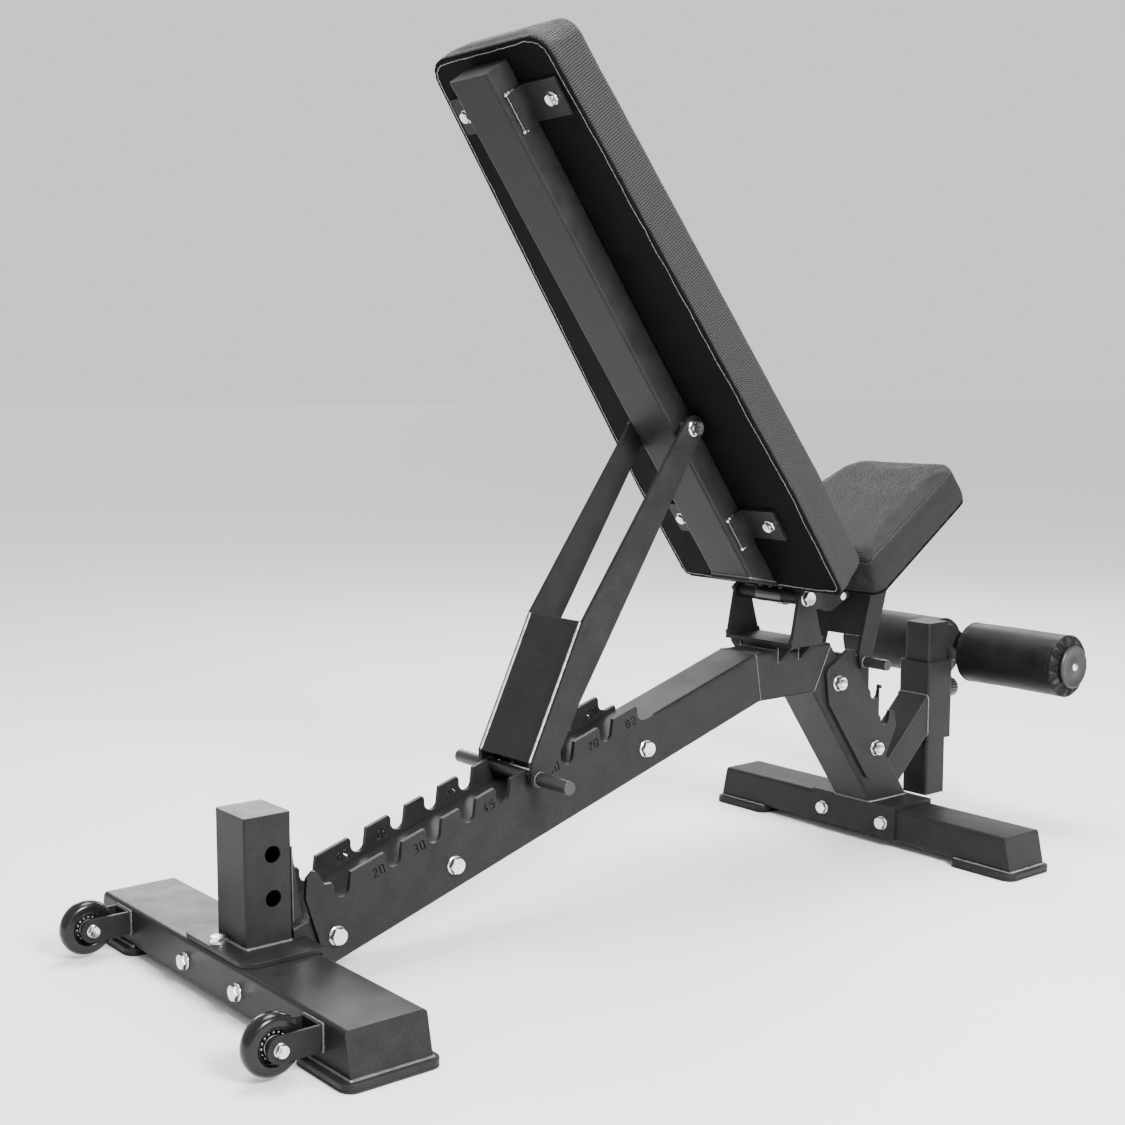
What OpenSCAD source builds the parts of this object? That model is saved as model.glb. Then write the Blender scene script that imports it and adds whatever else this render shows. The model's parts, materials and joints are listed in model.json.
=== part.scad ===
// Adjustable weight bench: welded steel frame with a notched ladder, a hinged
// backrest held by a prop, a tilting seat and a pair of leg rollers.
// +X points from the ladder end to the leg rollers, +Y to the left, +Z up.
// The origin is on the floor, midway between the rear wheels' back and the rollers' front.

/* [Crossbars] */
// Width of the rear crossbar along X
rear_bar_w = 100; // [90:1:110]
// Height of both crossbars
bar_h = 50; // [44:1:56]
// Half length of the rear crossbar at its bottom
rear_half = 304; // [280:1:330]
// Half length of the front crossbar at its bottom
front_half = 292; // [270:1:320]
// Width of the front crossbar along X
front_bar_w = 80; // [74:1:86]
// Back face of the front crossbar
front_bar_x = 1104; // [1100:1:1108]
// How far a crossbar's end leans in from bottom to top
end_lean = 11; // [6:1:16]
// Thickness of a foot plate with its rubber sole
foot_h = 10; // [8:1:12]

/* [Main frame] */
// Width of the spine, hump and front leg tubes along Y
spine_w = 75; // [70:1:76]
// Depth of the spine, hump and front leg tubes
spine_h = 70; // [66:1:72]
// Slope of the spine in degrees
spine_slope = 17.7; // [17:0.1:18.2]
// Slope of the front leg in degrees
leg_slope = 54.6; // [53:0.1:56]
// Wall thickness of the frame tubes
wall = 3; // [2:0.5:4]
// Height of the square post at the rear
post_h = 153; // [120:1:170]
// Radius of the post's cross holes
post_hole_r = 10; // [6:0.5:12]

/* [Backrest] */
// Backrest angle above the floor at rest
back_angle = 54.5; // [54:0.1:55]
// Length of the backrest pad
back_len = 860; // [820:1:880]
// Half width of the backrest pad at its lower end
back_half_low = 160; // [140:1:170]
// Half width of the backrest pad at its upper end
back_half_top = 117; // [105:1:130]
// Thickness of the foam on each board
foam_h = 51; // [46:1:52]
// Distance from the hinge to the prop's pivot along the backrest
prop_pivot_along = 327; // [322:1:330]
// Length of the prop from pivot to rod
prop_len = 514; // [510:1:518]

/* [Seat] */
// Seat angle above the floor at rest
seat_angle = 26; // [25:0.5:27]
// Length of the seat pad
seat_len = 296; // [280:1:310]
// Half width of the seat pad at its rear end
seat_half_rear = 158; // [140:1:165]
// Half width of the seat pad at its front end
seat_half_front = 106; // [95:1:120]
// Length of the seat lever from pivot to rod
lever_len = 170; // [168:1:172]

/* [Rollers] */
// Radius of a leg roller
roller_r = 49; // [42:1:49]
// Length of a leg roller's foam
roller_len = 190; // [170:1:200]
// Height of the rollers' axle above the floor
roller_z = 272; // [270:1:276]
// Outer width of the square roller post
inner_post_w = 48; // [46:0.5:48]

/* [Wheels] */
// Radius of a transport wheel
wheel_r = 34; // [30:1:36]
// Width of a transport wheel
wheel_w = 24; // [20:1:26]

/* [Hidden] */

$fn = 64;
corner_r = 5;
plate_t = 6;
hole_gap = 0.3;
through = 200;
across_m8 = 13;
across_m10 = 17;
across_m12 = 19;
bar_top = foot_h + bar_h;
post_w = 60;
post_half_y = 35;
post_x0 = 28;
bracket_top = bar_top + plate_t;
bracket_half = 80;
spine_half_y = spine_w / 2;
ladder_y = spine_half_y + plate_t;

// Corners of the centre line of the main frame, in the X-Z plane
mitre_rear = [849, 287];
mitre_front = [984, 287];
hinge = [915, 400];

// Unit directions in the X-Z plane
spine_u = [cos(spine_slope), sin(spine_slope)];
spine_v = [-sin(spine_slope), cos(spine_slope)];
leg_u = [cos(leg_slope), -sin(leg_slope)];
leg_v = [sin(leg_slope), cos(leg_slope)];

// Prop and ladder
prop_rod_r = 9;
prop_rod_half = 118;
prop_arm_y = 52;
prop_pivot_drop = 32;
notch_r = 10.5;
notch_lift = 1.2;
rod_line = 49.3;
tooth_line = 63.5;
ladder_low = -28;
ladder_rear = -765;
ladder_front = -205;
back_positions = [3.2, 21.3, 31.6, 39.6, 47.5, 54.5, 62.7, 73.2, 85.5];

// Seat lever and its notches
lever_along = 199;
lever_drop = 38;
seat_rod_r = 8;
seat_rod_half = 94;
lever_y = 45;
seat_notch_start = [1065, 289.4];
seat_notch_u = [0.5, -0.866];
seat_positions = [0, 12];

// Hinge
pivot_r = 8;
run_gap = 0.05;
barrel_r = 12;
seat_barrel_r = 11;
yoke_y = 61;

// Backrest section, measured from the hinge line
board_t = 15;
back_plane = -12;
back_tube_w = 80;
back_tube_h = 40;
back_tube_end = 867;
back_low = 26;
seat_plane = -18;
seat_low = 54;

// Roller post and sleeve
sleeve_x0 = 1242;
sleeve_w = 60;
sleeve_z0 = 139;
sleeve_z1 = 265;
sleeve_cx = sleeve_x0 + sleeve_w / 2;
inner_post_z0 = 48;
inner_post_z1 = 327;
axle_x = 1355;
axle_r = 12;
roller_y0 = 24;
core_r = 17;
knob_z = 213;

// Wheels
axle_bolt_r = 4;
wheel_x = -50;
wheel_y = 232;
wheel_z = 40;

function unit(v) = v / norm(v);

// A point at distance along and above the spine's centre line
function spine_point(along, above) = mitre_rear + along * spine_u + above * spine_v;

// A point at distance along and in front of the leg's centre line
function leg_point(along, front) = mitre_front + along * leg_u + front * leg_v;

// The end of a link on a hinged part, at that part's angle
function back_point(angle, along, above) =
    hinge + [above * sin(angle) - along * cos(angle), along * sin(angle) + above * cos(angle)];
function seat_point(angle, along, above) =
    hinge + [along * cos(angle) - above * sin(angle), along * sin(angle) + above * cos(angle)];

// Where a link of length reach from point p meets the line through q along u
function meet(p, reach, q, u, side) =
    let (w = q - p, m = w * u)
    q + (side * sqrt(m * m - w * w + reach * reach) - m) * u;

// Arc of radius r that rounds the corner b between a and c
function corner_arc(a, b, c, r, steps) =
    let (
        u = unit(a - b), v = unit(c - b), half = acos(u * v) / 2,
        centre = b + unit(u + v) * r / sin(half),
        from = b + u * r / tan(half) - centre, to = b + v * r / tan(half) - centre,
        a0 = atan2(from[1], from[0]),
        turn = (atan2(to[1], to[0]) - a0 + 540) % 360 - 180
    )
    [for (i = [0 : steps]) centre + r * [cos(a0 + turn * i / steps), sin(a0 + turn * i / steps)]];

// A polygon's points with each corner rounded by its own radius, 0 for sharp
function rounded(points, radii, steps = 6) =
    let (n = len(points))
    [for (i = [0 : n - 1]) each
        radii[i] == 0 ? [points[i]]
        : corner_arc(points[(i + n - 1) % n], points[i], points[(i + 1) % n], radii[i], steps)];

function all_round(points, r) = rounded(points, [for (p = points) r]);

ladder_q = spine_point(0, rod_line);
back_notches = [for (a = back_positions)
    meet(back_point(a, prop_pivot_along, -prop_pivot_drop), prop_len, ladder_q, spine_u, -1)];
prop_pivot = back_point(back_angle, prop_pivot_along, -prop_pivot_drop);
prop_foot = meet(prop_pivot, prop_len, ladder_q, spine_u, -1);
prop_lean = atan2(prop_pivot[0] - prop_foot[0], prop_pivot[1] - prop_foot[1]);

lever_pivot = seat_point(seat_angle, lever_along, -lever_drop);
lever_foot = meet(lever_pivot, lever_len, seat_notch_start, seat_notch_u, 1);
lever_lean = atan2(lever_pivot[0] - lever_foot[0], lever_pivot[1] - lever_foot[1]);
seat_notches = concat([lever_foot], [for (a = seat_positions)
    meet(seat_point(a, lever_along, -lever_drop), lever_len, seat_notch_start, seat_notch_u, 1)]);

// Lengths above are counted from the rear crossbar's back face; the bench is then centred
module centred() {
    translate([(wheel_r - wheel_x - axle_x - roller_r) / 2, 0, 0]) children();
}

// Extrudes an X-Z outline from y0 to y1
module slab(y0, y1) {
    translate([0, y1, 0]) rotate([90, 0, 0]) linear_extrude(y1 - y0) children();
}

// The same outline on both sides, between distances y0 and y1 from the middle
module both_sides(y0, y1) {
    slab(y0, y1) children();
    slab(-y1, -y0) children();
}

module round_rect(w, h, r) {
    square([w - 2 * r, h], center = true);
    square([w, h - 2 * r], center = true);
    for (sx = [-1, 1], sy = [-1, 1]) {
        translate([sx * (w / 2 - r), sy * (h / 2 - r)]) circle(r);
    }
}

module tube_section(w, h, t) {
    difference() {
        round_rect(w, h, corner_r);
        round_rect(w - 2 * t, h - 2 * t, corner_r - t + 1);
    }
}

// A tube whose centre line runs from a to b in the X-Z plane, over-long by extra
module frame_tube(a, b, width, depth, t, extra) {
    span = b - a;
    lean = atan2(span[0], span[1]);
    translate([a[0], 0, a[1]]) rotate([0, lean, 0]) translate([0, 0, -extra])
        linear_extrude(norm(span) + 2 * extra) tube_section(depth, width, t);
}

// A bolt standing on z = 0 with its head up, and a nut grip below it
module through_bolt(r, across, grip) {
    head_h = 1.1 * r;
    flange_r = across * 0.62;
    tail = 2.2 * r;
    cylinder(r = flange_r, h = 2);
    translate([0, 0, 1]) cylinder(r = across / 2 / cos(30), h = head_h + 1, $fn = 6);
    translate([0, 0, -grip - tail]) cylinder(r = r, h = grip + tail + 1);
    translate([0, 0, -grip]) nut(r, across, flange_r);
}

module nut(r, across, flange_r) {
    nut_h = 1.6 * r;
    difference() {
        union() {
            translate([0, 0, -2]) cylinder(r = flange_r, h = 2);
            translate([0, 0, -nut_h]) cylinder(r = across / 2 / cos(30), h = nut_h - 1, $fn = 6);
        }
        translate([0, 0, -nut_h - 1]) cylinder(r = r + 0.1, h = nut_h + 2);
    }
}

module y_hole(p, r) {
    translate([p[0], 0, p[1]]) rotate([90, 0, 0]) cylinder(r = r, h = 2 * through, center = true);
}

// Frames of the hinged parts: built lying flat, then turned to their rest angle
module at_back() {
    translate([hinge[0], 0, hinge[1]]) rotate([0, back_angle, 0]) children();
}

module at_seat() {
    translate([hinge[0], 0, hinge[1]]) rotate([0, -seat_angle, 0]) children();
}

module at_prop() {
    translate([prop_pivot[0], 0, prop_pivot[1]]) rotate([0, prop_lean, 0]) children();
}

module at_lever() {
    translate([lever_pivot[0], 0, lever_pivot[1]]) rotate([0, lever_lean, 0]) children();
}

// ---- Crossbars and feet ----

// A closed crossbar with ends that lean in towards the top
module crossbar(x0, w, half, t) {
    outline = [[-half, foot_h], [half, foot_h], [half - end_lean, bar_top], [end_lean - half, bar_top]];
    inner = [[t - half, 0], [half - t, 0], [half - t - end_lean, bar_top], [t + end_lean - half, bar_top]];
    intersection() {
        translate([x0, 0, 0]) rotate([90, 0, 90]) linear_extrude(w) polygon(outline);
        difference() {
            translate([x0 + w / 2, half, foot_h + bar_h / 2]) rotate([90, 0, 0])
                linear_extrude(2 * half) round_rect(w, bar_h, corner_r);
            intersection() {
                translate([x0 + w / 2, half, foot_h + bar_h / 2]) rotate([90, 0, 0])
                    linear_extrude(2 * half) round_rect(w - 2 * t, bar_h - 2 * t, 2);
                translate([x0, 0, 0]) rotate([90, 0, 90]) linear_extrude(w) polygon(inner);
            }
        }
    }
}

rear_bolt_y = 64;
rear_bolt_z = 33;
rear_bolt_r = 5;
top_bolt = [17, 12];

module rear_crossbar() {
    centred() color("dimgray") difference() {
        crossbar(0, rear_bar_w, rear_half, wall);
        for (s = [-1, 1]) {
            translate([-1, s * rear_bolt_y, rear_bolt_z]) rotate([0, 90, 0])
                cylinder(r = rear_bolt_r + hole_gap, h = rear_bar_w + 2);
        }
        translate([top_bolt[0], top_bolt[1], bar_top - wall - 2])
            cylinder(r = rear_bolt_r + hole_gap, h = wall + 4);
    }
}

saddle_t = 5;
saddle_half = 82;
saddle_bolt_y = 60;
saddle_bolt_z = 37;

module front_crossbar() {
    centred() color("dimgray") difference() {
        crossbar(front_bar_x, front_bar_w, front_half, wall);
        for (s = [-1, 1]) {
            translate([front_bar_x - 1, s * saddle_bolt_y, saddle_bolt_z]) rotate([0, 90, 0])
                cylinder(r = rear_bolt_r + hole_gap, h = front_bar_w + 2);
        }
    }
}

sole_h = 3;
foot_margin = 10;
foot_len = 112;

module foot_outlines(x0, w, half) {
    outer = half + foot_margin - 2;
    for (s = [-1, 1]) {
        scale([1, s]) polygon(all_round([
            [x0 - foot_margin, outer - foot_len], [x0 + w + foot_margin, outer - foot_len],
            [x0 + w + foot_margin, outer], [x0 - foot_margin, outer]], 16));
    }
}

module all_feet() {
    foot_outlines(0, rear_bar_w, rear_half);
    foot_outlines(front_bar_x, front_bar_w, front_half);
}

module foot_plates() {
    centred() color("dimgray") translate([0, 0, sole_h]) linear_extrude(foot_h - sole_h) all_feet();
}

module foot_soles() {
    centred() color("black") linear_extrude(sole_h) all_feet();
}

// ---- Rear bracket and post ----

module rear_bracket() {
    flange_x = rear_bar_w;
    centred() color("dimgray") difference() {
        union() {
            translate([0, 0, bar_top]) linear_extrude(plate_t) polygon(rounded([
                [3, -bracket_half], [flange_x + plate_t, -bracket_half],
                [flange_x + plate_t, bracket_half], [3, bracket_half]], [18, 0, 0, 18]));
            translate([flange_x, -bracket_half, foot_h + 2])
                cube([plate_t, 2 * bracket_half, bar_h - 2]);
        }
        for (s = [-1, 1]) {
            translate([flange_x - 1, s * rear_bolt_y, rear_bolt_z]) rotate([0, 90, 0])
                cylinder(r = rear_bolt_r + hole_gap, h = plate_t + 2);
        }
        translate([top_bolt[0], top_bolt[1], bar_top - 1])
            cylinder(r = rear_bolt_r + hole_gap, h = plate_t + 2);
    }
}

module crossbar_bolts() {
    centred() color("silver") {
        for (s = [-1, 1]) {
            translate([0, s * rear_bolt_y, rear_bolt_z]) rotate([0, -90, 0])
                through_bolt(rear_bolt_r, across_m10, rear_bar_w + plate_t);
            translate([front_bar_x - saddle_t, s * saddle_bolt_y, saddle_bolt_z]) rotate([0, -90, 0])
                through_bolt(rear_bolt_r, across_m10, front_bar_w + 2 * saddle_t);
        }
        translate([top_bolt[0], top_bolt[1], bracket_top])
            through_bolt(rear_bolt_r, across_m10, plate_t + wall);
    }
}

post_hole_x = 64;
post_hole_z = [120, 172];

module rear_post() {
    post_cx = post_x0 + post_w / 2;
    post_cap = 3;
    centred() color("dimgray") difference() {
        translate([post_cx, 0, bracket_top]) linear_extrude(post_h)
            round_rect(post_w, 2 * post_half_y, 3);
        translate([post_cx, 0, bracket_top - 1]) linear_extrude(post_h - post_cap + 1)
            round_rect(post_w - 2 * wall, 2 * post_half_y - 2 * wall, 1);
        for (z = post_hole_z) {
            translate([post_hole_x, 0, z]) rotate([90, 0, 0])
                cylinder(r = post_hole_r, h = 4 * post_half_y, center = true);
        }
    }
}

module post_gussets() {
    foot_x = post_x0 + post_w;
    centred() color("dimgray") both_sides(post_half_y - plate_t, post_half_y)
        polygon([[foot_x, 86], [foot_x + 14, 91], [foot_x, 178]]);
}

// ---- Spine, hump and leg ----

module spine_tube() {
    start = spine_point(-830, 0);
    top = mitre_rear + unit(spine_v + [0, 1]) * 60;
    low = mitre_rear - unit(spine_v + [0, 1]) * 60;
    centred() color("dimgray") difference() {
        intersection() {
            frame_tube(start, mitre_rear, spine_w, spine_h, wall, 30);
            slab(-spine_w, spine_w) polygon([[post_x0 + post_w, 0], low, top, [post_x0 + post_w, 400]]);
        }
        translate([0, -spine_w, 0]) cube([rear_bar_w + plate_t, 2 * spine_w, bracket_top]);
        for (p = ladder_bolt_points) y_hole(p, ladder_bolt_r + hole_gap);
    }
}

module hump_tube() {
    rear_cut = unit(spine_v + [0, 1]) * 60;
    front_cut = unit(leg_v + [0, 1]) * 60;
    centred() color("dimgray") intersection() {
        frame_tube(mitre_rear, mitre_front, spine_w, spine_h, wall, 40);
        slab(-spine_w, spine_w) polygon([mitre_rear - rear_cut, mitre_front - front_cut,
            mitre_front + front_cut, mitre_rear + rear_cut]);
    }
}

leg_foot_z = bar_top + saddle_t;

module front_leg() {
    cut = unit(leg_v + [0, 1]) * 60;
    centred() color("dimgray") difference() {
        intersection() {
            frame_tube(mitre_front, leg_point(270, 0), spine_w, spine_h, wall, 60);
            slab(-spine_w, spine_w) polygon([mitre_front - cut, [mitre_front[0] - 30, leg_foot_z],
                [mitre_front[0] + 240, leg_foot_z], [mitre_front[0] + 240, 330], mitre_front + cut]);
        }
        for (p = notch_bolt_points) y_hole(p, notch_bolt_r + hole_gap);
    }
}

// ---- Ladder ----

ladder_bolt_r = 6;
ladder_bolt_points = [[142, 62], [312, 115], [628, 217]];

// The upright slot that a rod drops into, open at the top with flared lips
module notch_outline(p, r, top) {
    translate(p + [0, notch_lift]) {
        circle(r);
        polygon([[-r, 0], [r, 0], [r + 3, top + 10], [r + 4, top + 40], [-r - 5, top + 40],
            [-r - 5, top], [-r, top - 6]]);
    }
}

module ladder_outline() {
    last = len(back_notches) - 1;
    floor_line = rod_line - notch_r;
    last_along = (back_notches[last] - mitre_rear) * spine_u;
    difference() {
        polygon([
            spine_point(ladder_rear, ladder_low),
            spine_point(ladder_front, ladder_low),
            spine_point(ladder_front, floor_line),
            spine_point(last_along, floor_line),
            spine_point(last_along, tooth_line),
            spine_point(-728, tooth_line),
            spine_point(-737, tooth_line + 3),
            for (p = corner_arc(spine_point(-737, tooth_line), spine_point(-742, 89),
                spine_point(-756, 87), 5, 6)) p,
            spine_point(-756, 84),
            spine_point(ladder_rear, tooth_line - 1),
        ]);
        for (p = back_notches) notch_outline(p, notch_r, 12);
        for (p = ladder_bolt_points) translate(p) circle(ladder_bolt_r + hole_gap);
    }
}

module ladder_plate_left() {
    centred() color("dimgray") slab(spine_half_y, ladder_y) ladder_outline();
}

module ladder_plate_right() {
    centred() color("dimgray") slab(-ladder_y, -spine_half_y) ladder_outline();
}

module ladder_bolts() {
    centred() color("silver") for (p = ladder_bolt_points) {
        translate([p[0], -ladder_y, p[1]]) rotate([90, 0, 0])
            through_bolt(ladder_bolt_r, across_m12, 2 * ladder_y);
    }
}

// ---- Hinge yoke ----

yoke_t = 6;
yoke_x = 918;
yoke_half = 33;
yoke_eye_r = 15.5;
yoke_base = 330;
hump_top = mitre_rear[1] + spine_h / 2;

module yoke_side() {
    polygon([[yoke_x - yoke_half, yoke_base], [yoke_x + yoke_half, yoke_base],
        [hinge[0] + yoke_eye_r, hinge[1]], [hinge[0] - yoke_eye_r, hinge[1]]]);
    translate(hinge) circle(yoke_eye_r);
}

module hinge_yoke() {
    reach = yoke_y + yoke_t;
    centred() color("dimgray") difference() {
        union() {
            both_sides(yoke_y, reach) yoke_side();
            translate([yoke_x - yoke_half, 0, 0]) rotate([90, 0, 90]) linear_extrude(2 * yoke_half)
                polygon(rounded([[-reach, yoke_base], [reach, yoke_base], [reach, yoke_base + 12],
                    [yoke_y, yoke_base + 12], [yoke_y, yoke_base + yoke_t], [-yoke_y, yoke_base + yoke_t],
                    [-yoke_y, yoke_base + 12], [-reach, yoke_base + 12]], [9, 9, 0, 0, 4, 4, 0, 0]));
        }
        y_hole(hinge, hinge_bolt_r + hole_gap);
    }
}

module yoke_supports() {
    gusset = spine_half_y + 22;
    centred() color("dimgray") {
        translate([yoke_x - yoke_half + 4, -spine_half_y + 2, hump_top])
            cube([2 * yoke_half - 8, spine_w - 4, yoke_base - hump_top]);
        for (s = [-1, 1], x = [yoke_x - yoke_half + 3, yoke_x + yoke_half - 20]) {
            translate([x, 0, 0]) rotate([90, 0, 90]) linear_extrude(5)
                polygon([[s * spine_half_y, yoke_base], [s * gusset, yoke_base],
                    [s * gusset, yoke_base - 4], [s * spine_half_y, yoke_base - 26]]);
        }
    }
}

hinge_bolt_r = 6;

module pivot_sleeve() {
    centred() color("gray") translate([hinge[0], 0, hinge[1]]) rotate([90, 0, 0]) difference() {
        cylinder(r = pivot_r, h = 2 * yoke_y, center = true);
        cylinder(r = hinge_bolt_r + run_gap, h = 3 * yoke_y, center = true);
    }
}

module hinge_bolt() {
    centred() color("silver") translate([hinge[0], -yoke_y - yoke_t, hinge[1]]) rotate([90, 0, 0])
        through_bolt(hinge_bolt_r, across_m12, 2 * (yoke_y + yoke_t));
}

// ---- Seat notch plates ----

notch_bolt_r = 6;
notch_bolt_points = [[1013, 262], [1100, 151]];

module notch_plate_outline() {
    nose = seat_notches[1];
    difference() {
        polygon(rounded([
            leg_point(50, -24), leg_point(213, -24), leg_point(213, 12),
            seat_notches[1] + [28, -12], seat_notches[1] + [20, 12], seat_notches[1] + [4, 14],
            seat_notches[2] + [15, 12], seat_notches[2] + [-3, 16], lever_foot + [16, -12],
            lever_foot + [10, 10], lever_foot + [-30, 22], leg_point(8, 28), leg_point(4, 0)],
            [14, 14, 10, 8, 4, 0, 4, 0, 8, 3, 12, 12, 12]));
        for (p = seat_notches) notch_outline(p, seat_rod_r + 1.2, 9);
        for (p = notch_bolt_points) translate(p) circle(notch_bolt_r + hole_gap);
    }
}

module notch_plates() {
    centred() color("dimgray") both_sides(spine_half_y, ladder_y) notch_plate_outline();
}

module notch_bolts() {
    centred() color("silver") for (p = notch_bolt_points) {
        translate([p[0], ladder_y, p[1]]) rotate([-90, 0, 0])
            through_bolt(notch_bolt_r, across_m12, 2 * ladder_y);
    }
}

// ---- Saddle over the front crossbar ----

module saddle_plate() {
    x0 = front_bar_x - saddle_t;
    x1 = front_bar_x + front_bar_w + saddle_t;
    translate([0, saddle_half, 0]) rotate([90, 0, 0])
        linear_extrude(2 * saddle_half) polygon([[x0, foot_h + 4], [front_bar_x, foot_h + 4],
            [front_bar_x, bar_top], [front_bar_x + front_bar_w, bar_top],
            [front_bar_x + front_bar_w, foot_h + 4], [x1, foot_h + 4], [x1, bar_top + saddle_t],
            [x0, bar_top + saddle_t]]);
}

module leg_saddle() {
    centred() color("dimgray") difference() {
        saddle_plate();
        for (s = [-1, 1]) {
            translate([front_bar_x - 10, s * saddle_bolt_y, saddle_bolt_z]) rotate([0, 90, 0])
                cylinder(r = rear_bolt_r + hole_gap, h = front_bar_w + 20);
        }
    }
}

// ---- Roller arm, sleeve and knob ----

arm_depth = 48;
arm_top_z = 213;
arm_slope = 43.5;

module arm_tube() {
    arm_u = [cos(arm_slope), sin(arm_slope)];
    end = [sleeve_x0, arm_top_z - arm_depth / 2 / cos(arm_slope)];
    start = end - 160 * arm_u;
    centred() color("dimgray") intersection() {
        frame_tube(start, end, sleeve_w, arm_depth, wall, 60);
        slab(-spine_w, spine_w) polygon([leg_point(60, spine_h / 2), leg_point(330, spine_h / 2),
            [sleeve_x0, leg_foot_z], [sleeve_x0, 320]]);
    }
}

module post_sleeve() {
    centred() color("dimgray") difference() {
        translate([sleeve_cx, 0, sleeve_z0]) linear_extrude(sleeve_z1 - sleeve_z0)
            tube_section(sleeve_w, sleeve_w, wall);
        translate([sleeve_cx, 0, knob_z]) rotate([0, 90, 0]) cylinder(r = 6 + run_gap, h = sleeve_w);
    }
}

module sleeve_liners() {
    centred() color("black") for (z = [sleeve_z0 + 4, sleeve_z1 - 24]) {
        translate([sleeve_cx, 0, z]) linear_extrude(22) difference() {
            round_rect(sleeve_w - 2 * wall, sleeve_w - 2 * wall, 3);
            round_rect(inner_post_w + 0.1, inner_post_w + 0.1, corner_r);
        }
    }
}

module clamp_knob() {
    face_x = sleeve_x0 + sleeve_w;
    tip_x = sleeve_cx + inner_post_w / 2 + 0.3;
    knob_r = 16;
    centred() color("black") translate([0, 0, knob_z]) rotate([0, 90, 0]) {
        translate([0, 0, tip_x]) cylinder(r = 6, h = face_x + 12 - tip_x);
        translate([0, 0, face_x + 0.3]) cylinder(r = 10, h = 12);
        translate([0, 0, face_x + 12]) difference() {
            cylinder(r = knob_r, h = 24);
            for (i = [0 : 11]) rotate(30 * i) translate([knob_r + 1, 0, -1]) cylinder(r = 2.5, h = 26);
        }
    }
}

// ---- Roller post and rollers ----

module roller_post() {
    front_x = sleeve_cx + inner_post_w / 2;
    centred() color("dimgray") {
        translate([sleeve_cx, 0, inner_post_z0]) linear_extrude(inner_post_z1 - inner_post_z0 - 4)
            tube_section(inner_post_w, inner_post_w, wall - 0.5);
        translate([sleeve_cx, 0, inner_post_z1 - 4]) linear_extrude(4)
            round_rect(inner_post_w, inner_post_w, corner_r);
        difference() {
            slab(-roller_y0 + 6, roller_y0 - 6) union() {
                polygon([[front_x, 284], [front_x, 322], [front_x + 22, 318], [axle_x + 10, roller_z + 14],
                    [axle_x - 10, roller_z - 16], [front_x + 20, 284]]);
                translate([axle_x, roller_z]) circle(axle_r + 7);
            }
            y_hole([axle_x, roller_z], axle_r);
        }
    }
}

roller_y1 = roller_y0 + roller_len;
cap_r = 33;
cap_t = 5;

module roller_axle() {
    centred() color("gray") translate([axle_x, 0, roller_z]) rotate([90, 0, 0])
        cylinder(r = axle_r, h = 2 * roller_y1 + 2, center = true);
}

module roller_caps() {
    centred() for (s = [-1, 1]) {
        translate([axle_x, s * (roller_y1 + 1), roller_z]) rotate([-90 * s, 0, 0]) {
            color("black") cylinder(r = cap_r, h = cap_t);
            color("silver") translate([0, 0, cap_t]) cylinder(r = 6, h = 2.5);
        }
    }
}

module on_axle(y) {
    translate([axle_x, y, roller_z]) rotate([-90, 0, 0]) children();
}

module foam() {
    edge = 9;
    rotate_extrude() polygon([[core_r, 0], [roller_r - edge, 0],
        for (a = [0 : 15 : 90]) [roller_r - edge + edge * sin(a), edge - edge * cos(a)],
        for (a = [90 : -15 : 0]) [roller_r - edge + edge * sin(a), roller_len - edge + edge * cos(a)],
        [core_r, roller_len]]);
}

module core() {
    rotate_extrude() polygon([[axle_r + run_gap, 0], [core_r, 0], [core_r, roller_len],
        [axle_r + run_gap, roller_len]]);
}

module roller_foam_left() {
    centred() color("black") on_axle(roller_y0) foam();
}

module roller_foam_right() {
    centred() color("black") on_axle(-roller_y1) foam();
}

module roller_core_left() {
    centred() color("white") on_axle(roller_y0) core();
}

module roller_core_right() {
    centred() color("white") on_axle(-roller_y1) core();
}

// ---- Transport wheels ----

bracket_w = 40;
bracket_t = 4;
bracket_h = 29;

module wheel_brackets() {
    arm_end = [wheel_x, wheel_z];
    centred() color("dimgray") for (s = [-1, 1]) translate([0, s * wheel_y, 0]) difference() {
        union() {
            both_sides(bracket_w / 2 - bracket_t, bracket_w / 2) union() {
                translate([wheel_x, wheel_z - bracket_h / 2]) square([-wheel_x, bracket_h]);
                translate(arm_end) circle(bracket_h / 2);
            }
            translate([-bracket_t, -bracket_w / 2, wheel_z - bracket_h / 2])
                cube([bracket_t, bracket_w, bracket_h]);
        }
        y_hole(arm_end, axle_bolt_r + 0.2);
    }
}

module wheel_bolts() {
    centred() color("silver") for (s = [-1, 1]) {
        translate([wheel_x, s * wheel_y - bracket_w / 2, wheel_z]) rotate([90, 0, 0])
            through_bolt(axle_bolt_r, across_m8, bracket_w);
    }
}

module on_wheel(s) {
    translate([wheel_x, s * wheel_y, wheel_z]) rotate([90, 0, 0]) children();
}

hub_r = 21;

module hub() {
    half = wheel_w / 2;
    rotate_extrude() polygon([[axle_bolt_r + run_gap, -half - 2], [10, -half - 2], [10, -half + 3],
        [12, -half + 3], [12, 3 - half - 1], [17, 2 - half], [17, -half], [hub_r, 1 - half],
        [hub_r, half - 1], [17, half], [17, half - 2], [12, half - 2], [12, half - 3], [10, half - 3],
        [10, half + 2], [axle_bolt_r + run_gap, half + 2]]);
}

module tyre() {
    half = wheel_w / 2;
    crown = wheel_r - hub_r;
    rotate_extrude() polygon([[hub_r, 1 - half],
        for (a = [-90 : 15 : 90]) [hub_r + crown * cos(a) ^ 0.6, (half - 1) * sin(a)],
        [hub_r, half - 1]]);
}

module wheel_hub_left() {
    centred() color("gray") on_wheel(1) hub();
}

module wheel_hub_right() {
    centred() color("gray") on_wheel(-1) hub();
}

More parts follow.
